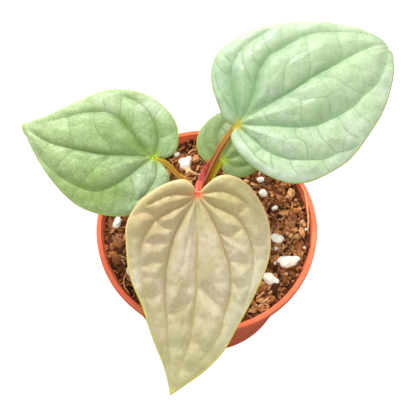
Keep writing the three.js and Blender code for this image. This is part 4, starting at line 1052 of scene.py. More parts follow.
def new_group(name, inputs, outputs):
    """An empty node group that takes a vector and named numbers and gives named numbers. Returns it with
    its two end nodes."""
    group = bpy.data.node_groups.new(name, "ShaderNodeTree")
    group.interface.new_socket("Vector", in_out="INPUT", socket_type="NodeSocketVector")
    for key, value in inputs.items():
        socket = group.interface.new_socket(key, in_out="INPUT", socket_type="NodeSocketFloat")
        socket.default_value = value
    for key in outputs:
        group.interface.new_socket(key, in_out="OUTPUT", socket_type="NodeSocketFloat")
    return group, group.nodes.new("NodeGroupInput").outputs, group.nodes.new("NodeGroupOutput").inputs


def mottle_group():
    """Cloudy patches: noise, drawn out to full contrast. Mask is the patches, Height a finer grain."""
    group, start, end = new_group("mottle", {"Scale": 300.0, "Softness": 0.15}, ("Mask", "Height"))
    noise = add_node(group, "ShaderNodeTexNoise",
                     {"Vector": start["Vector"], "Scale": start["Scale"], "Detail": 4.0, "Roughness": 0.6})
    low = maths(group, "SUBTRACT", 0.5, start["Softness"])
    high = maths(group, "ADD", 0.5, start["Softness"])
    fine = add_node(group, "ShaderNodeTexNoise",
                    {"Vector": start["Vector"], "Scale": times(group, start["Scale"], 5.0), "Detail": 3.0})
    group.links.new(spread(group, noise.outputs["Fac"], low, high), end["Mask"])
    group.links.new(fine.outputs["Fac"], end["Height"])
    return group


def areole_group():
    """A leaf's fine net: cells between thin veins, on the blade's own map, pulled about by noise."""
    group, start, end = new_group("areoles", {"Scale": 60.0, "Width": 0.16}, ("Net", "Cell"))
    scale = start["Scale"]
    noise = add_node(group, "ShaderNodeTexNoise",
                     {"Vector": start["Vector"], "Scale": times(group, scale, 0.8)})
    middle = add_node(group, "ShaderNodeVectorMath", {0: noise.outputs["Color"], 1: (0.5, 0.5, 0.5)},
                      operation="SUBTRACT")
    pull = add_node(group, "ShaderNodeVectorMath",
                    {0: middle.outputs["Vector"], "Scale": maths(group, "DIVIDE", 1.4, scale)},
                    operation="SCALE")
    moved = add_node(group, "ShaderNodeVectorMath", {0: start["Vector"], 1: pull.outputs["Vector"]},
                     operation="ADD")
    place = {"Vector": moved.outputs["Vector"], "Scale": scale}
    cells = add_node(group, "ShaderNodeTexVoronoi", place, feature="DISTANCE_TO_EDGE")
    whole = add_node(group, "ShaderNodeTexVoronoi", place, feature="F1")
    separate = add_node(group, "ShaderNodeSeparateColor", {"Color": whole.outputs["Color"]})
    group.links.new(spread(group, cells.outputs["Distance"], 0.0, start["Width"], 1.0, 0.0), end["Net"])
    group.links.new(separate.outputs["Red"], end["Cell"])
    return group


def shared(tree, name, make, **inputs):
    """A shared group in a material, with its own values. The group is made on first use."""
    tree_of = bpy.data.node_groups.get(name) or make()
    return add_node(tree, "ShaderNodeGroup", inputs, node_tree=tree_of).outputs


def mottle(tree, place, scale, softness):
    """The cloudy patches at a material's own scale."""
    return shared(tree, "mottle", mottle_group, Vector=place, Scale=scale, Softness=softness)


def areoles(tree, place, scale, width):
    """The net of cells at a material's own scale."""
    return shared(tree, "areoles", areole_group, Vector=place, Scale=scale, Width=width)


def finished(tree, shader, color, height, strength, distance):
    """Gives the shader its colour, and fine relief from a height."""
    tree.links.new(color, shader.inputs["Base Color"])
    node = add_node(tree, "ShaderNodeBump", {"Height": height, "Strength": strength, "Distance": distance})
    tree.links.new(node.outputs["Normal"], shader.inputs["Normal"])


def leaf_material(name):
    """Blade colours: cushions pale on top with painted shade in their creases, then one layer over the
    other, each a mask, its strength and its colour, by the blade's own attributes and over a fine net of
    cells. Painted sheen, painted shade and painted light are among the layers."""
    given = column(LEAF_FINISH, name)
    colors = {key: shade_of(*value) for key, value in given.items() if isinstance(value, tuple)}
    material, tree, shader = new_material(f"leaf_{name}", Specular_IOR_Level=0.28)
    uv = place_of(tree, "UV")
    fine, wide = areoles(tree, uv, 90.0, 0.2), areoles(tree, uv, 26.0, 0.07)
    cloud = mottle(tree, uv, 13.0, 0.2)
    along, vein, heart, tone = (own_value(tree, key) for key in ("along", "vein", "heart", "tone"))
    across = times(tree, own_value(tree, "across"), given["flank_side"])
    lobes = mixed(tree, spread(tree, across, -0.15, 0.15), colors["lobe"], colors["lobe_flank"])
    net = maths(tree, "MAXIMUM", wide["Net"], times(tree, fine["Net"], 0.6))
    edge = mixed(tree, spread(tree, along, 0.0, 0.75, 1.0, 0.0), colors["margin"], colors["edge"])
    tip_end = spread(tree, along, 0.94, 1.01)
    layers = (
        (spread(tree, along, 0.3, 1.1), 0.75, colors["tip"]),
        (spread(tree, across, 0.05, 0.95), 0.8, colors["flank"]),
        (spread(tree, along, -0.02, 0.34, 1.0, 0.0), 0.8, lobes),
        # Painted sheen towards the outline
        (own_value(tree, "rim"), given["painted_sheen_share"], colors["pale"]),
        # Painted shade along the main veins near the petiole
        (own_value(tree, "fold"), given["vein_shade_share"], colors["low"]),
        # Painted shade at the soft darker places
        (maths(tree, "MAXIMUM", tone, 0.0), 1.0, colors["low"]),
        # Painted light at the soft paler places
        (maths(tree, "MAXIMUM", times(tree, tone, -1.0), 0.0), 1.0, mixed(tree, 0.3, colors["pale"], WHITE)),
        (cloud["Mask"], given["patch_share"], colors["patch"]),
        (net, given["net_share"], colors["vein"]),
        (spread(tree, fine["Cell"], 0.0, 1.0), 0.2, colors["low"]),
        (vein, given["vein_strength"], colors["vein"]),
        (own_value(tree, "rib"), 0.6, mixed(tree, 0.5, colors["high"], colors["margin"])),
        (spread(tree, heart, given["star"] - 0.3, given["star"] + 0.1, 0.0, 0.5),
         spread(tree, vein, 0.0, 0.8, 0.4, 1.0), colors["ray"]),
        (maths(tree, "MAXIMUM", times(tree, own_value(tree, "margin"), 0.9), tip_end), 1.0, edge),
        (spread(tree, heart, given["star"], 0.95), 1.0, colors["base"]),
        (own_value(tree, "under"), 1.0, colors["under"]),
    )
    # Painted shade in the creases, paler on the tops of the cushions
    cushion = spread(tree, own_value(tree, "cushion"), 0.0, given["crease"])
    color = mixed(tree, cushion, colors["low"], colors["high"])
    for mask, strength, over in layers:
        color = mixed(tree, times(tree, mask, strength), color, over)
    tree.links.new(spread(tree, fine["Cell"], 0.0, 1.0, 0.46, 0.58), shader.inputs["Roughness"])
    height = maths(tree, "ADD", times(tree, fine["Net"], -0.5), times(tree, cloud["Height"], 0.5))
    finished(tree, shader, color, height, 0.16, 0.00018)
    return material


def stalk_material(name):
    """Stalk colours along its length, golden on one side, with a painted highlight line and a band of
    painted shade down its front, and fine mottling."""
    material, tree, shader = new_material(f"stalk_{name}", Roughness=0.32, Specular_IOR_Level=0.24)
    cloud = mottle(tree, place_of(tree), 500.0, 0.2)
    color = ramp(tree, own_value(tree, "along"), PETIOLES[name]["stops"])
    gold = mixed(tree, 0.6, color, (0.95, 0.55, 0.05, 1))
    color = mixed(tree, times(tree, own_value(tree, "gold"), 0.85), color, gold)
    darker = tinted(tree, color, 0.45, 0.28, 0.2)
    color = mixed(tree, times(tree, cloud["Mask"], 0.3), color, darker)
    # Painted shade in the furrow beside the front
    color = mixed(tree, times(tree, own_value(tree, "groove"), 0.85), color, darker)
    # Painted highlight line down the front
    paler = mixed(tree, 0.85, color, (1.0, 0.78, 0.5, 1))
    line = times(tree, own_value(tree, "ridge"), spread(tree, cloud["Height"], 0.35, 0.6, 0.5, 1.0))
    finished(tree, shader, mixed(tree, line, color, paler), cloud["Height"], 0.3, 0.0002)
    return material


def cloudy_material(name, colors, scale, bump_depth, fading=None, **numbers):
    """Three colours in cloudy patches of two sizes, with grain in the relief. fading is a tint that comes
    in along the piece."""
    material, tree, shader = new_material(name, **numbers)
    place = place_of(tree)
    big, small = mottle(tree, place, scale, 0.12), mottle(tree, place, scale * 3.7, 0.1)
    first, second, third = (shade_of(*c) for c in colors)
    color = mixed(tree, big["Mask"], first, second)
    color = mixed(tree, times(tree, small["Mask"], 0.5), color, third)
    if fading:
        late = spread(tree, own_value(tree, "along"), 0.45, 1.0)
        color = mixed(tree, late, color, tinted(tree, color, *fading))
    finished(tree, shader, color, small["Height"], 0.6, bump_depth)
    return material


def crumb_material(name, stops, roughness=0.9):
    """Crumb colours: each crumb's own shade picks its colour, with grain over it."""
    material, tree, shader = new_material(name, Roughness=roughness, Specular_IOR_Level=0.12)
    cloud = mottle(tree, place_of(tree), 900.0, 0.2)
    color = ramp(tree, own_value(tree, "shade"), [(at, shade_of(*c)) for at, c in stops])
    darker = tinted(tree, color, 0.5, 0.45, 0.4)
    color = mixed(tree, times(tree, cloud["Mask"], 0.55), color, darker)
    finished(tree, shader, color, cloud["Height"], 0.7, 0.0003)
    return material


def pot_material(settings):
    """Moulded plastic: faint clouding, a few dusty specks, and a painted highlight along the rim's top
    edges.
    """
    material, tree, shader = new_material("pot_plastic", Specular_IOR_Level=0.03)
    place = place_of(tree)
    cloud, dust = mottle(tree, place, 120.0, 0.3), mottle(tree, place, 1500.0, 0.05)
    color = (*settings.color, 1.0)
    paler = mixed(tree, 0.4, color, (0.95, 0.55, 0.36, 1))
    shown = mixed(tree, cloud["Mask"], color, tinted(tree, color, 0.86, 0.78, 0.74))
    # Dust specks, and the painted highlight along the rim's top edges
    worn = maths(tree, "MAXIMUM", times(tree, dust["Mask"], 0.1), times(tree, own_value(tree, "worn"), 0.55))
    shown = mixed(tree, worn, shown, paler)
    stained = tinted(tree, shown, 0.62, 0.5, 0.42)
    shown = mixed(tree, times(tree, own_value(tree, "stain"), 0.6), shown, stained)
    rough = spread(tree, cloud["Mask"], 0.0, 1.0, settings.roughness - 0.05, settings.roughness + 0.08)
    tree.links.new(rough, shader.inputs["Roughness"])
    finished(tree, shader, shown, dust["Height"], 0.12, 0.0001)
    return material


# Pot


def inner_radius(z):
    """Radius of the pot's inner wall at a height."""
    neck = POT["height"] - POT["rim_depth"]
    return POT["base_radius"] + (POT["neck_radius"] - POT["base_radius"]) * z / neck - POT["wall"]


def rounded(corners, reaches, steps=5):
    """A profile whose corners are replaced by short curves: from a point before the corner to one after
    it, weighted by the square of the rest, twice the product, and the square of the share."""
    corners = np.asarray(corners, float)
    share = np.linspace(0, 1, steps)[:, None]
    parts = [corners[:1]]
    for before, here, after, reach in zip(corners, corners[1:], corners[2:], reaches):
        start = here + unit(before - here) * reach
        end = here + unit(after - here) * reach
        parts.append(start * (1 - share) ** 2 + 2 * here * share * (1 - share) + end * share**2)
    return np.vstack([*parts, corners[-1:]])


def hole_tile(segments):
    """One of the eight tiles of the pot's floor: from its own edge, on the upper face, to the drain hole's
    circle, down the hole and back out to its edge on the lower face."""
    near, far, floor, raised = POT["tile_inner"], POT["tile_outer"], POT["floor"], POT["recess_height"]
    half = np.pi / POT["hole_count"]
    ring = polar(np.linspace(-half, half, segments // POT["hole_count"] + 1))
    side = np.linspace(near, far, 9)[1:-1, None]
    edge = np.concatenate([far * ring, side[::-1] * ring[-1], near * ring[::-1], side * ring[0]])
    hub = np.array([POT["hole_circle"], 0])
    circle = hub + unit(edge - hub) * POT["hole_radius"]
    levels = [(0, floor), (0.5, floor), (0.93, floor), (1, floor - 0.15), (1, (floor + raised) / 2),
              (1, raised + 0.15), (0.93, raised), (0.5, raised), (0, raised)]
    points = np.concatenate([at_height(edge * (1 - s) + circle * s, z) for s, z in levels])
    return points, grid_faces(len(levels), len(edge))


def pot_form(segments):
    """The pot: a turned wall from outside the drain holes' lower edge, over the rim, to their upper edge;
    turned middles inside them; and eight tiles with the holes."""
    height, floor, raised = POT["height"], POT["floor"], POT["recess_height"]
    rim, width, neck = POT["rim_radius"], POT["rim_width"], POT["height"] - POT["rim_depth"]
    base, inner, outer = POT["base_radius"], POT["recess_inner"], POT["recess_outer"]
    slant, near, far = POT["recess_slant"], POT["tile_inner"], POT["tile_outer"]
    wall = rounded(
        [(far, raised), (outer - slant, raised), (outer, 0), (base - 0.2, 0), (base, POT["base_round"]),
         (POT["neck_radius"], neck - 0.3), (rim - 0.3, neck), (rim, neck + 0.4), (rim, height),
         (rim - width, height), (rim - width, height - 1), (inner_radius(neck), neck - 0.6),
         (inner_radius(floor + 1), floor + 1), (inner_radius(floor) - 1, floor), (far, floor)],
        [0.3, 0.3, 0.1, 0.3, 0.3, 0.2, 0.2, 0.45, 0.45, 0.3, 0.3, 0.5, 0.5],
    )
    upper = [(near, floor), (8, floor), (0.5, floor)]
    lower = rounded([(0.5, 0), (inner, 0), (inner + slant, raised), (near, raised)], [0.3, 0.3])
    parts = [
        (turned(profile, segments).reshape(-1, 3), grid_faces(len(profile), segments))
        for profile in (wall, upper, lower)
    ]
    tile, tile_faces = hole_tile(segments)
    parts += [(rotated(tile, 360 * k / POT["hole_count"]), tile_faces) for k in range(POT["hole_count"])]
    starts = np.cumsum([0] + [len(points) for points, _ in parts])
    faces = [faces + start for (_, faces), start in zip(parts, starts)]
    lower_ring, pole = starts[2] + np.arange(segments), starts[-1]
    faces += [fan_faces(pole, lower_ring - segments), fan_faces(pole + 1, lower_ring)[:, ::-1]]
    return welded(np.vstack([*(points for points, _ in parts), [[0, 0, floor], [0, 0, 0]]]), faces)


def build_pot(settings):
    """The pot, with a painted highlight along the rim's top edges and a stain where the mix touches the
    wall.
    """
    points, faces = pot_form(settings.segments // 16 * 16)
    radius, z = np.hypot(points[:, 0], points[:, 1]), points[:, 2]
    off_rim = radius - POT["rim_radius"]
    corner = np.minimum(np.abs(off_rim), np.abs(off_rim + POT["rim_width"]))
    # Painted highlight along the top edges of the rim
    worn = bell(z - POT["height"], 0.3) * bell(corner, 0.5) * (0.6 + 0.5 * ripples(points, 14, 2))
    within = radius < inner_radius(z) + 0.4
    stain = within * bell(z - SOIL_TOP, 1.6) * (0.7 + 0.6 * ripples(points, 6, 3))
    put_piece("pot_shell", points, faces, pot_material(settings), "pot_plastic", ["pot"],
              {"worn": np.clip(worn, 0, 1), "stain": np.clip(stain, 0, 1)})


# Potting mix


def hills_of_the_mix():
    """The low hills of the mix: x, y, height and width."""
    draw = seeded_draws(HILLS["seed"])
    rows = []
    for _ in range(HILLS["count"]):
        away, turn = HILLS["reach"] * math.sqrt(next(draw)), 2 * math.pi * next(draw)
        rows.append((away * math.cos(turn), away * math.sin(turn), 0.3 + next(draw), 0.6 + 0.7 * next(draw)))
    return rows


LUMPS = hills_of_the_mix()


def soil_height(x, y):
    """Height of the mix: its mean, two crossing waves, a bell for each hill, less a dip along the pot's
    wall."""
    waves = 0.35 * np.sin(x / 7 + 1) * np.cos(y / 6) + 0.3 * np.sin((x + y) / 4)
    hills = sum(0.8 * tall * bell(np.hypot(x - cx, y - cy), 2.6 * wide) for cx, cy, tall, wide in LUMPS)
    return SOIL_TOP - 0.7 + waves + hills - 0.9 * bell(np.hypot(x, y) - 36.5, 3)


def bed_height(x, y):
    """Height of the loose top: soil_height, and a bank that rises smoothly against the pot's wall, by a
    cosine more on one side."""
    share = np.clip((np.hypot(x, y) - BANK["from"]) / (BANK["to"] - BANK["from"]), 0, 1)
    rise = BANK["rise"] + BANK["lean"] * np.clip(np.cos(np.arctan2(y, x) - BANK["toward"]), 0, 1)
    return soil_height(x, y) + rise * share**2 * (3 - 2 * share)


def bed_form():
    """The mix as one closed body: a polar grid whose top follows bed_height with crumbly noise, an edge
    that lies on the ledge under the rim, and a side and underside just clear of the pot."""
    rings, steps, sunk, edge = 96, 252, 0.8, BANK["to"]
    foot_top, bottom = POT["floor"] + 1.5, POT["floor"] + 0.4
    foot = inner_radius(foot_top) - 0.4
    flat = (edge * np.linspace(1 / rings, 1, rings))[:, None, None] * polar(full_turn(steps))
    x, y = flat[..., 0], flat[..., 1]
    grain = 0.55 * ripples(flat, 3.4, 5) + 0.45 * np.abs(ripples(flat, 1.5, 9))
    top = at_height(flat, bed_height(x, y) - sunk + grain * np.clip((edge - np.hypot(x, y)) / 0.8, 0.3, 1))
    side = turned([(edge - 0.05, 53.1), (inner_radius(52) - 0.3, 52.1), (inner_radius(46) - 0.4, 46),
                   (foot, foot_top), (foot - 1.2, bottom)], steps)
    return closed_form([0, 0, soil_height(0.0, 0.0) - sunk], np.concatenate([top, side]), [0, 0, bottom])


def scattered(rng, count, reach):
    """Random places over a disc, away from the crown."""
    x, y = np.empty(0), np.empty(0)
    while len(x) < count:
        radius = reach * np.sqrt(rng.uniform(0, 1, count))
        turn = rng.uniform(0, 2 * np.pi, count)
        px, py = radius * np.cos(turn), radius * np.sin(turn)
        clear = np.hypot(px - CROWN["x"], py - CROWN["y"]) > CROWN["radius"] + 0.6
        x, y = np.concatenate([x, px[clear]]), np.concatenate([y, py[clear]])
    return x[:count], y[:count]


def loose_lumps(rng, count, kind):
    """Small angular lumps scattered over the bed: balls of a few rows and columns, each corner moved in or
    out at random, stretched to size and turned. Returns their points, faces and shades."""
    long = kind["long"][0] + (kind["long"][1] - kind["long"][0]) * rng.uniform(0, 1, count) ** 1.8
    x, y = scattered(rng, count, MIX_EDGE - kind["clear"] * kind["long"][1])
    wide, tall = (long * rng.uniform(*kind[key], count) for key in ("wide", "tall"))
    sizes = np.stack([long, wide, tall], -1)
    z = bed_height(x, y) - 0.35 + rng.uniform(-0.5, 0.6, count) * tall
    flat = np.stack([x, y], -1)
    centres = at_height(flat, z + 0.5 * ripples(flat, 3.4, 5))
    ways, faces = ball(*kind["grid"])
    swell = rng.uniform(0.62, 1.28, (count, len(ways), 1))
    shaped = ways[None] * swell * sizes[:, None] / 2
    yaw = rng.uniform(0, 2 * np.pi, count)
    spin = rotations(yaw, rng.normal(0, kind["tilt"], count), rng.normal(0, kind["tilt"], count))
    points = np.einsum("nij,nkj->nki", spin, shaped) + centres[:, None]
    shade = np.repeat(np.clip(rng.beta(1.5, 1.9, count), 0, 1), len(ways))
    return points.reshape(-1, 3), repeated(faces, count, len(ways)), shade


def loose_fibres(rng, count):
    """Thin fibres over the bed: each an arc of its own length, bend and arch, thinner at its ends."""
    long = rng.uniform(2.5, 9, count)[:, None]
    x, y = scattered(rng, count, MIX_EDGE - 5)
    heading = rng.uniform(0, 2 * np.pi, count)
    share = np.linspace(-0.5, 0.5, 7)
    way = heading[:, None] + rng.normal(0, 0.9, count)[:, None] * share
    px = x[:, None] + long * share * np.cos(way)
    py = y[:, None] + long * share * np.sin(way)
    arch = rng.uniform(-0.2, 1.0, count)[:, None] * (1 - (2 * share) ** 2)
    radii = rng.uniform(0.07, 0.19, count)[:, None] * (1 - 0.6 * (2 * np.abs(share)) ** 3)
    points, faces, *_ = sweep(np.stack([px, py, bed_height(px, py) + 0.1 + arch], -1), radii, 4)
    return points, faces, np.repeat(rng.uniform(0.2, 0.95, count), len(points) // count)


def build_mix(settings):
    """The bed, and loose chunks, splinters, crumbs and fibres over it."""
    bed = cloudy_material("mix_bed", [(38, 19, 11), (80, 44, 26), (134, 82, 50)], 420.0, 0.0008,
                          Roughness=0.95, Specular_IOR_Level=0.08)
    put_piece("mix_bed", *bed_form(), bed, "potting_mix", ["potting_mix"])
    material = crumb_material("mix_crumbs", CRUMB_STOPS)
    rng = np.random.default_rng(settings.seed)
    for name, kind in LOOSE.items():
        points, faces, shade = loose_lumps(rng, getattr(settings, name), kind)
        put_piece(f"mix_{name}", points, faces, material, "potting_mix", (), {"shade": shade}, smooth=False)
    points, faces, shade = loose_fibres(rng, settings.fibres)
    put_piece("mix_fibres", points, faces, material, "potting_mix", (), {"shade": shade})


def build_details():
    """Single strands laid on the mix, and small beads among the crumbs."""
    material = crumb_material("strands", CRUMB_STOPS)
    for number, (spots, radius, shade) in enumerate(STRANDS):
        route = smooth_route([(x, y, bed_height(x, y) + lift) for x, y, lift in spots], 36)
        share = np.linspace(0, 1, 36)
        radii = radius * (1 - 0.75 * np.abs(2 * share - 1) ** 5) * (1 + 0.15 * np.sin(31 * share + number))
        points, faces, *_ = sweep(route[None], radii[None], 8)
        put_piece(f"strand_{number + 1:02d}", points, faces, material, "potting_mix", (), {"shade": shade})
    ways, faces = ball(9, 14)
    stops = [(0, (150, 92, 50)), (0.4, (222, 172, 116)), (0.8, (240, 224, 196)), (1, (250, 244, 230))]
    bead_material = crumb_material("beads", stops, 0.75)
    for number, (x, y, size, shade) in enumerate(BEADS):
        swell = 1 + 0.16 * ripples(ways, 1.6, number + 7)
        points = ways * swell[:, None] * size / 2 + [x, y, bed_height(x, y) + 0.4 * size]
        put_piece(f"bead_{number + 1:02d}", points, faces, bead_material, "perlite", (), {"shade": shade})


# Stem, petioles and sheaths


def build_stem():
    """The ringed crown and its four roots, as in the solid model."""
    material = cloudy_material("stem_bark", [(120, 74, 40), (84, 52, 30), (150, 120, 60)], 260.0, 0.0004,
                               Roughness=0.7, Specular_IOR_Level=0.3)
    profile = np.array(CROWN["profile"]) * [CROWN["radius"], 1]
    profile = smooth_outline(profile, 46)
    rings = turned(profile[1:-1], 72)
    rings[..., :2] *= 1 + 0.03 * ripples(rings, 4, 3)[..., None]
    middle = np.array([CROWN["x"], CROWN["y"]])
    rings[..., :2] += middle
    points, faces = closed_form([*middle, profile[0, 1]], rings, [*middle, profile[-1, 1]])
    put_piece("crown", points, faces, material, "stem", ["stem"])
    routes = []
    for turn, reach, tip in ROOTS:
        way = polar(math.radians(turn))
        spots = [(0.8, 50), (0.55 * reach, 46), (reach, 38), (reach + 3, tip)]
        routes.append(smooth_route([(*(middle + away * way), z) for away, z in spots], 30))
    radii = np.tile(np.linspace(1.1, 0.77, 30), (len(ROOTS), 1))
    points, faces, *_ = sweep(np.array(routes), radii, 12)
    put_piece("roots", points, faces, material, "stem")


def past(turn, from_turn, width):
    """One at a turn and falling away from it on both sides, as a bell."""
    return bell(np.angle(np.exp(1j * (turn - from_turn))), width)


def build_stalk(name):
    """A leaf stalk: a tube that thickens at both ends and closes in a half ball. Its section is a circle
    with three rounded ridges and two grooves beside the front one."""
    petiole = PETIOLES[name]
    route = smooth_route(petiole["route"][:-1] + [column(LEAF_FORM, name)["place"]], 90)
    share = np.linspace(0, 1, len(route))
    length = np.linalg.norm(np.diff(route, axis=0), axis=1).sum()
    radii = petiole["base_radius"] + (petiole["top_radius"] - petiole["base_radius"]) * share
    radii = radii * (1 + 0.18 * bell((1 - share) * length, 5))
    radii = radii * (1 + 0.04 * np.sin(21 * share + 2) * np.sin(9 * share))
    for ends in (share * length, (1 - share) * length):
        closing = np.clip(1 - ends / radii, 0, 1)
        radii = radii * np.sqrt(np.clip(1 - closing**2, 0.02, 1))
    front = petiole["ridge"]

    def section(turn):
        grooves = past(turn, front + 0.45, 0.2) + 0.7 * past(turn, front - 0.6, 0.25)
        return 1 + 0.035 * np.cos(3 * (turn - front)) - 0.11 * grooves

    points, faces, along, around = sweep(spaced(route, len(route))[None], radii[None], 48, section)
    # A painted highlight line down the front, painted shade in the furrow beside it, and a golden side
    values = {"along": along, "ridge": past(around, front + 0.1, 0.16),
              "groove": past(around, front + 0.5, 0.24), "gold": past(around, petiole["gold"], 0.8)}
    node = f"petiole_{name}"
    put_piece(f"stalk_{name}", points, faces, stalk_material(name), node, [node], values)


def build_sheath(name):
    """A papery sheath: a curved strip at a small distance round its petiole, narrowing to a point."""
    sheath, rows, columns = CATAPHYLLS[name], 60, 21
    petiole = PETIOLES[sheath["petiole"]]
    route = smooth_route(petiole["route"], 400)
    share = np.linspace(0, 1, rows)
    t = sheath["from"] + (sheath["to"] - sheath["from"]) * share
    grid = np.linspace(0, 1, len(route))
    centre = np.stack([np.interp(t, grid, route[:, k]) for k in range(3)], -1)
    tangent = unit(np.gradient(centre, axis=0))
    front = np.array([*polar(math.radians(sheath["facing"])), 0])
    front = unit(front - tangent * (tangent @ front)[:, None])
    beside = np.cross(tangent, front)
    angle = math.radians(sheath["half_angle"])
    angle = angle * np.maximum(SHEATH["tip_share"], 1 - share ** SHEATH["width_power"])
    stalk = petiole["base_radius"] + (petiole["top_radius"] - petiole["base_radius"]) * t
    radius = stalk + SHEATH["gap"] + sheath["flare"] * (1 - share) ** 2 + 0.35
    sideways = np.linspace(-1, 1, columns)
    turn = sideways * angle[:, None]
    ways = front[:, None] * np.cos(turn)[..., None] + beside[:, None] * np.sin(turn)[..., None]
    half = SHEATH["thickness"] / 2 * (0.25 + 0.75 * np.sqrt(np.clip(1 - sideways**6, 0, 1)))
    ripple = 0.3 * ripples(np.stack(np.broadcast_arrays(share[:, None] * 12, turn * 3), -1), 2.0, 4)
    middle = radius[:, None] + ripple * share[:, None] ** 0.5
    outer, inner = (centre[:, None] + ways * (middle + off)[..., None] for off in (half, -half))
    rings = np.concatenate([outer, inner[:, ::-1]], 1)
    points, faces = closed_form(rings[0].mean(0), rings, rings[-1].mean(0))
    # A faint pink glow, painted light standing in for light through the thin sheath
    material = cloudy_material(
        f"sheath_{name}", sheath["colors"], 240.0, 0.0003, (0.74, 0.6, 0.46), Roughness=0.3,
        Specular_IOR_Level=0.6, Emission_Color=shade_of(*sheath["colors"][1]), Emission_Strength=0.1,
    )
    node = f"cataphyll_{name}"
    put_piece(f"sheath_{name}", points, faces, material, node, [node],
              {"along": np.concatenate([[0], np.repeat(share, 2 * columns), [1]])})


# Perlite, bark and twigs


def far_side(ways, centre, half):
    """Distance from the origin, along each direction, to the far side of an ellipsoid, or 0."""
    a = ((ways / half) ** 2).sum(-1)
    b = (ways * centre / half**2).sum(-1)
    c = ((centre / half) ** 2).sum() - 1
    inside = b**2 - a * c
    return np.where(inside > 0, (b + np.sqrt(np.clip(inside, 0, None))) / a, 0)


def build_perlite():
    """Puffed grains: for each direction the far side of one or two ellipsoids, roughened by noise."""
    # A faint warm glow, painted light that evens the grains' shading
    material = cloudy_material(
        "perlite_grain", [(253, 249, 236), (244, 235, 212), (255, 252, 243)], 500.0, 0.0002, Roughness=0.8,
        Specular_IOR_Level=0.2, Emission_Color=shade_of(255, 246, 226), Emission_Strength=0.1,
    )
    ways, faces = ball(30, 44)
    for number, (x, y, length, width, height, turn, twin) in enumerate(PERLITE):
        box = np.array([length, width, height])
        away = far_side(ways, np.zeros(3), box / 2 * 0.95)
        if twin:
            away = np.maximum(away, far_side(ways, box * [0.42, 0.2, 0.08], box * [0.25, 0.275, 0.3] * 0.95))
        points = ways * away[:, None]
        rough = 0.09 * ripples(points, 2.8, number) + 0.025 * ripples(points, 1.0, number + 50)
        points = rotated(points * (1 + rough[:, None]), turn) + [x, y, soil_height(x, y) + 0.18 * height]
        node = f"perlite_{number + 1:02d}"
        put_piece(f"grain_{number + 1:02d}", points, faces, material, "perlite", [node])


def build_chips():
    """Bark chips: flat slabs whose outline runs straight between uneven corners, with layered edges."""
    material = cloudy_material("bark", [(150, 98, 60), (112, 68, 42), (190, 140, 96)], 380.0, 0.0005,
                               Roughness=0.8, Specular_IOR_Level=0.3)
    corners, turn = 7, full_turn(84)
    levels = [(0.97, 0.44), (1, 0.3), (0.985, 0.1), (1, -0.1), (0.98, -0.3), (0.96, -0.44)]
    flat = np.linspace(0.08, 0.9, 12)
    profile = [(share, 0.5) for share in flat] + levels + [(share, -0.5) for share in flat[::-1]]
    for number, (x, y, length, width, height, yaw, tilt) in enumerate(CHIPS):
        draw = seeded_draws(200 + number)
        swell = np.array([0.8 + 0.4 * next(draw) for _ in range(corners)])
        angle = 2 * np.pi * np.arange(corners + 1) / corners
        spots = polar(angle) * np.append(swell, swell[0])[:, None] * [length / 2, width / 2]
        outline = np.stack([np.interp(turn, angle, spots[:, k]) for k in range(2)], -1)
        rings = np.array([at_height(outline * share, level * height) for share, level in profile])
        rings[..., 2] += 0.12 * ripples(rings * [1, 2.5, 0.3], 2.0, number)
        points, faces = closed_form([0, 0, height / 2], rings, [0, 0, -height / 2])
        points = rotated(points, yaw, tilt / 2, tilt) + [x, y, soil_height(x, y) + 0.1 * height]
        put_piece(f"chip_{number + 1}", points, faces, material, "bark", [f"bark_chip_{number + 1}"])


def build_twigs():
    """Twigs: tubes that taper and swell a little along their way."""
    wood = cloudy_material("twig_wood", [(110, 76, 44), (70, 46, 28), (150, 110, 70)], 500.0, 0.0004,
                           Roughness=0.8, Specular_IOR_Level=0.3)
    share = np.linspace(0, 1, 40)
    for number, (x, y, length, radius, yaw) in enumerate(TWIGS):
        way = polar(math.radians(yaw)) * length / 2
        spots = [(x + s * way[0], y + s * way[1], soil_height(x, y) + lift)
                 for s, lift in ((-1, 0.5), (0, 0.2), (1, 0.8))]
        radii = radius * (1 - 0.2 * share) * (1 + 0.12 * np.sin(23 * share) * np.cos(9 * share))
        points, faces, *_ = sweep(smooth_route(spots, 40)[None], radii[None], 14)
        put_piece(f"twiglet_{number + 1}", points, faces, wood, "twig", [f"twig_{number + 1}"])


# Studio


def build_floor(settings):
    """A wide pale disc, which gives light of itself only to the camera."""
    disc = turned([(1.6, -0.0001)], 96)[0]
    mesh = bpy.data.meshes.new("floor")
    mesh.from_pydata(disc.tolist(), [], [list(range(len(disc)))])
    material, tree, shader = new_material("floor_paper", Roughness=0.9, Specular_IOR_Level=0.1,
                                          Emission_Color=WHITE)
    grain = times(tree, mottle(tree, place_of(tree), 4.0, 0.5)["Mask"], 0.02)
    tree.links.new(mixed(tree, grain, (*settings.floor_color, 1.0), WHITE), shader.inputs["Base Color"])
    seen = add_node(tree, "ShaderNodeLightPath").outputs["Is Camera Ray"]
    tree.links.new(times(tree, seen, settings.floor_glow), shader.inputs["Emission Strength"])
    mesh.materials.append(material)
    floor = bpy.data.objects.new("floor", mesh)
    bpy.context.scene.collection.objects.link(floor)


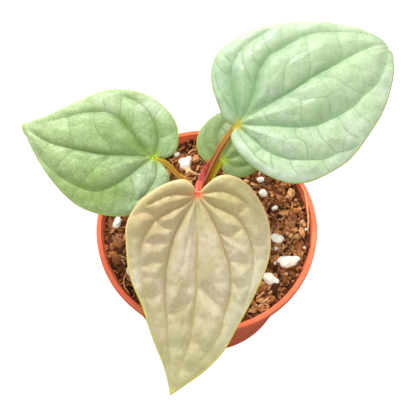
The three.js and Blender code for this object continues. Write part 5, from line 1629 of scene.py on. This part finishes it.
def build_light(settings):
    """Even light from all sides, white to the camera, and two soft round lamps aimed at the plant."""
    scene = bpy.context.scene
    world = bpy.data.worlds.new("studio")
    world.use_nodes = True
    background = world.node_tree.nodes["Background"]
    background.inputs["Color"].default_value = WHITE
    seen = add_node(world.node_tree, "ShaderNodeLightPath").outputs["Is Camera Ray"]
    strength = maths(world.node_tree, "MAXIMUM", seen, settings.ambient)
    world.node_tree.links.new(strength, background.inputs["Strength"])
    scene.world = world
    aim = Vector((0, 0, 0.07))
    for name, place, size, power in (
        ("key", settings.key_place, 0.2, settings.key_power),
        ("fill", settings.fill_place, 0.3, settings.fill_power),
    ):
        light = bpy.data.lights.new(name, "AREA")
        light.shape = "DISK"
        light.size = size
        light.energy = power
        lamp = bpy.data.objects.new(name, light)
        lamp.location = place
        lamp.rotation_mode = "QUATERNION"
        lamp.rotation_quaternion = (aim - Vector(place)).to_track_quat("-Z", "Y")
        scene.collection.objects.link(lamp)


def build_camera():
    """The photograph's camera: it looks down along +Y by its elevation and leans by its roll."""
    camera = bpy.data.cameras.new("photo")
    camera.sensor_width = CAMERA["sensor"]
    camera.lens = CAMERA["lens_px"] / CAMERA["image_px"] * CAMERA["sensor"]
    camera.clip_start = 0.01
    holder = bpy.data.objects.new("photo", camera)
    tilt, roll = math.radians(CAMERA["elevation"]), math.radians(CAMERA["roll"])
    up = Vector((0, math.sin(tilt), math.cos(tilt)))
    right = Vector((1, 0, 0))
    ahead = Vector((0, math.cos(tilt), -math.sin(tilt)))
    aside = right * math.cos(roll) + up * math.sin(roll)
    upward = up * math.cos(roll) - right * math.sin(roll)
    place = Vector(CAMERA["place"]) * MM
    turn = Matrix((aside, upward, -ahead)).transposed().to_4x4()
    holder.matrix_world = Matrix.Translation(place) @ turn
    bpy.context.scene.collection.objects.link(holder)
    bpy.context.scene.camera = holder


# Operators


class StageOperator(bpy.types.Operator):
    """Make the floor, the lights and the camera."""

    bl_idname = "anthurium.build_stage"
    bl_label = "Build stage"

    def execute(self, context):
        context.scene.view_settings.view_transform = "Standard"
        build_floor(context.scene.anthurium_studio)
        build_light(context.scene.anthurium_studio)
        build_camera()
        return {"FINISHED"}


class PotOperator(bpy.types.Operator):
    """Build the plastic pot."""

    bl_idname = "anthurium.build_pot"
    bl_label = "Build pot"

    def execute(self, context):
        build_pot(context.scene.anthurium_pot)
        return {"FINISHED"}


class MixOperator(bpy.types.Operator):
    """Build the potting mix with its chunks, crumbs and fibres."""

    bl_idname = "anthurium.build_mix"
    bl_label = "Build potting mix"

    def execute(self, context):
        build_mix(context.scene.anthurium_mix)
        return {"FINISHED"}


class StemOperator(bpy.types.Operator):
    """Build the crown and its roots."""

    bl_idname = "anthurium.build_stem"
    bl_label = "Build stem"

    def execute(self, context):
        build_stem()
        return {"FINISHED"}


class StalkOperator(bpy.types.Operator):
    """Build the leaf stalks."""

    bl_idname = "anthurium.build_petioles"
    bl_label = "Build leaf stalks"

    def execute(self, context):
        for name in PETIOLES:
            build_stalk(name)
        return {"FINISHED"}


class BladeOperator(bpy.types.Operator):
    """Build the four leaf blades."""

    bl_idname = "anthurium.build_blades"
    bl_label = "Build leaf blades"

    def execute(self, context):
        for name in LEAF_NAMES:
            build_blade(name, context.scene.anthurium_leaf)
        return {"FINISHED"}


class SheathOperator(bpy.types.Operator):
    """Build the papery sheaths."""

    bl_idname = "anthurium.build_cataphylls"
    bl_label = "Build sheaths"

    def execute(self, context):
        for name in CATAPHYLLS:
            build_sheath(name)
        return {"FINISHED"}


class GrainOperator(bpy.types.Operator):
    """Build the perlite grains."""

    bl_idname = "anthurium.build_perlite"
    bl_label = "Build perlite"

    def execute(self, context):
        build_perlite()
        return {"FINISHED"}


class ChipOperator(bpy.types.Operator):
    """Build the bark chips and twigs."""

    bl_idname = "anthurium.build_chips"
    bl_label = "Build bark chips and twigs"

    def execute(self, context):
        build_chips()
        build_twigs()
        return {"FINISHED"}


class DetailOperator(bpy.types.Operator):
    """Build the single strands and beads on the mix."""

    bl_idname = "anthurium.build_details"
    bl_label = "Build strands and beads"

    def execute(self, context):
        build_details()
        return {"FINISHED"}


OPERATORS = (
    StageOperator, PotOperator, MixOperator, StemOperator, StalkOperator, BladeOperator, SheathOperator,
    GrainOperator, ChipOperator, DetailOperator,
)
SETTINGS = {
    "anthurium_pot": PotSettings, "anthurium_leaf": LeafSettings, "anthurium_mix": MixSettings,
    "anthurium_studio": StudioSettings,
}


class AnthuriumPanel(bpy.types.Panel):
    """Lists the steps that build the plant."""

    bl_idname = "VIEW3D_PT_anthurium"
    bl_label = "Potted anthurium"
    bl_space_type = "VIEW_3D"
    bl_region_type = "UI"
    bl_category = "Anthurium"

    def draw(self, context):
        for operator in OPERATORS:
            self.layout.operator(operator.bl_idname)


def register():
    """Adds the classes, and the settings to every scene."""
    for cls in (*SETTINGS.values(), *OPERATORS, AnthuriumPanel):
        bpy.utils.register_class(cls)
    for name, cls in SETTINGS.items():
        setattr(bpy.types.Scene, name, PointerProperty(type=cls))


def unregister():
    """Takes the settings and the classes away again."""
    for name in SETTINGS:
        delattr(bpy.types.Scene, name)
    for cls in reversed((*SETTINGS.values(), *OPERATORS, AnthuriumPanel)):
        bpy.utils.unregister_class(cls)


def main():
    """Runs every step."""
    register()
    for operator in OPERATORS:
        group, step = operator.bl_idname.split(".")
        getattr(getattr(bpy.ops, group), step)()


if __name__ == "__main__":
    main()
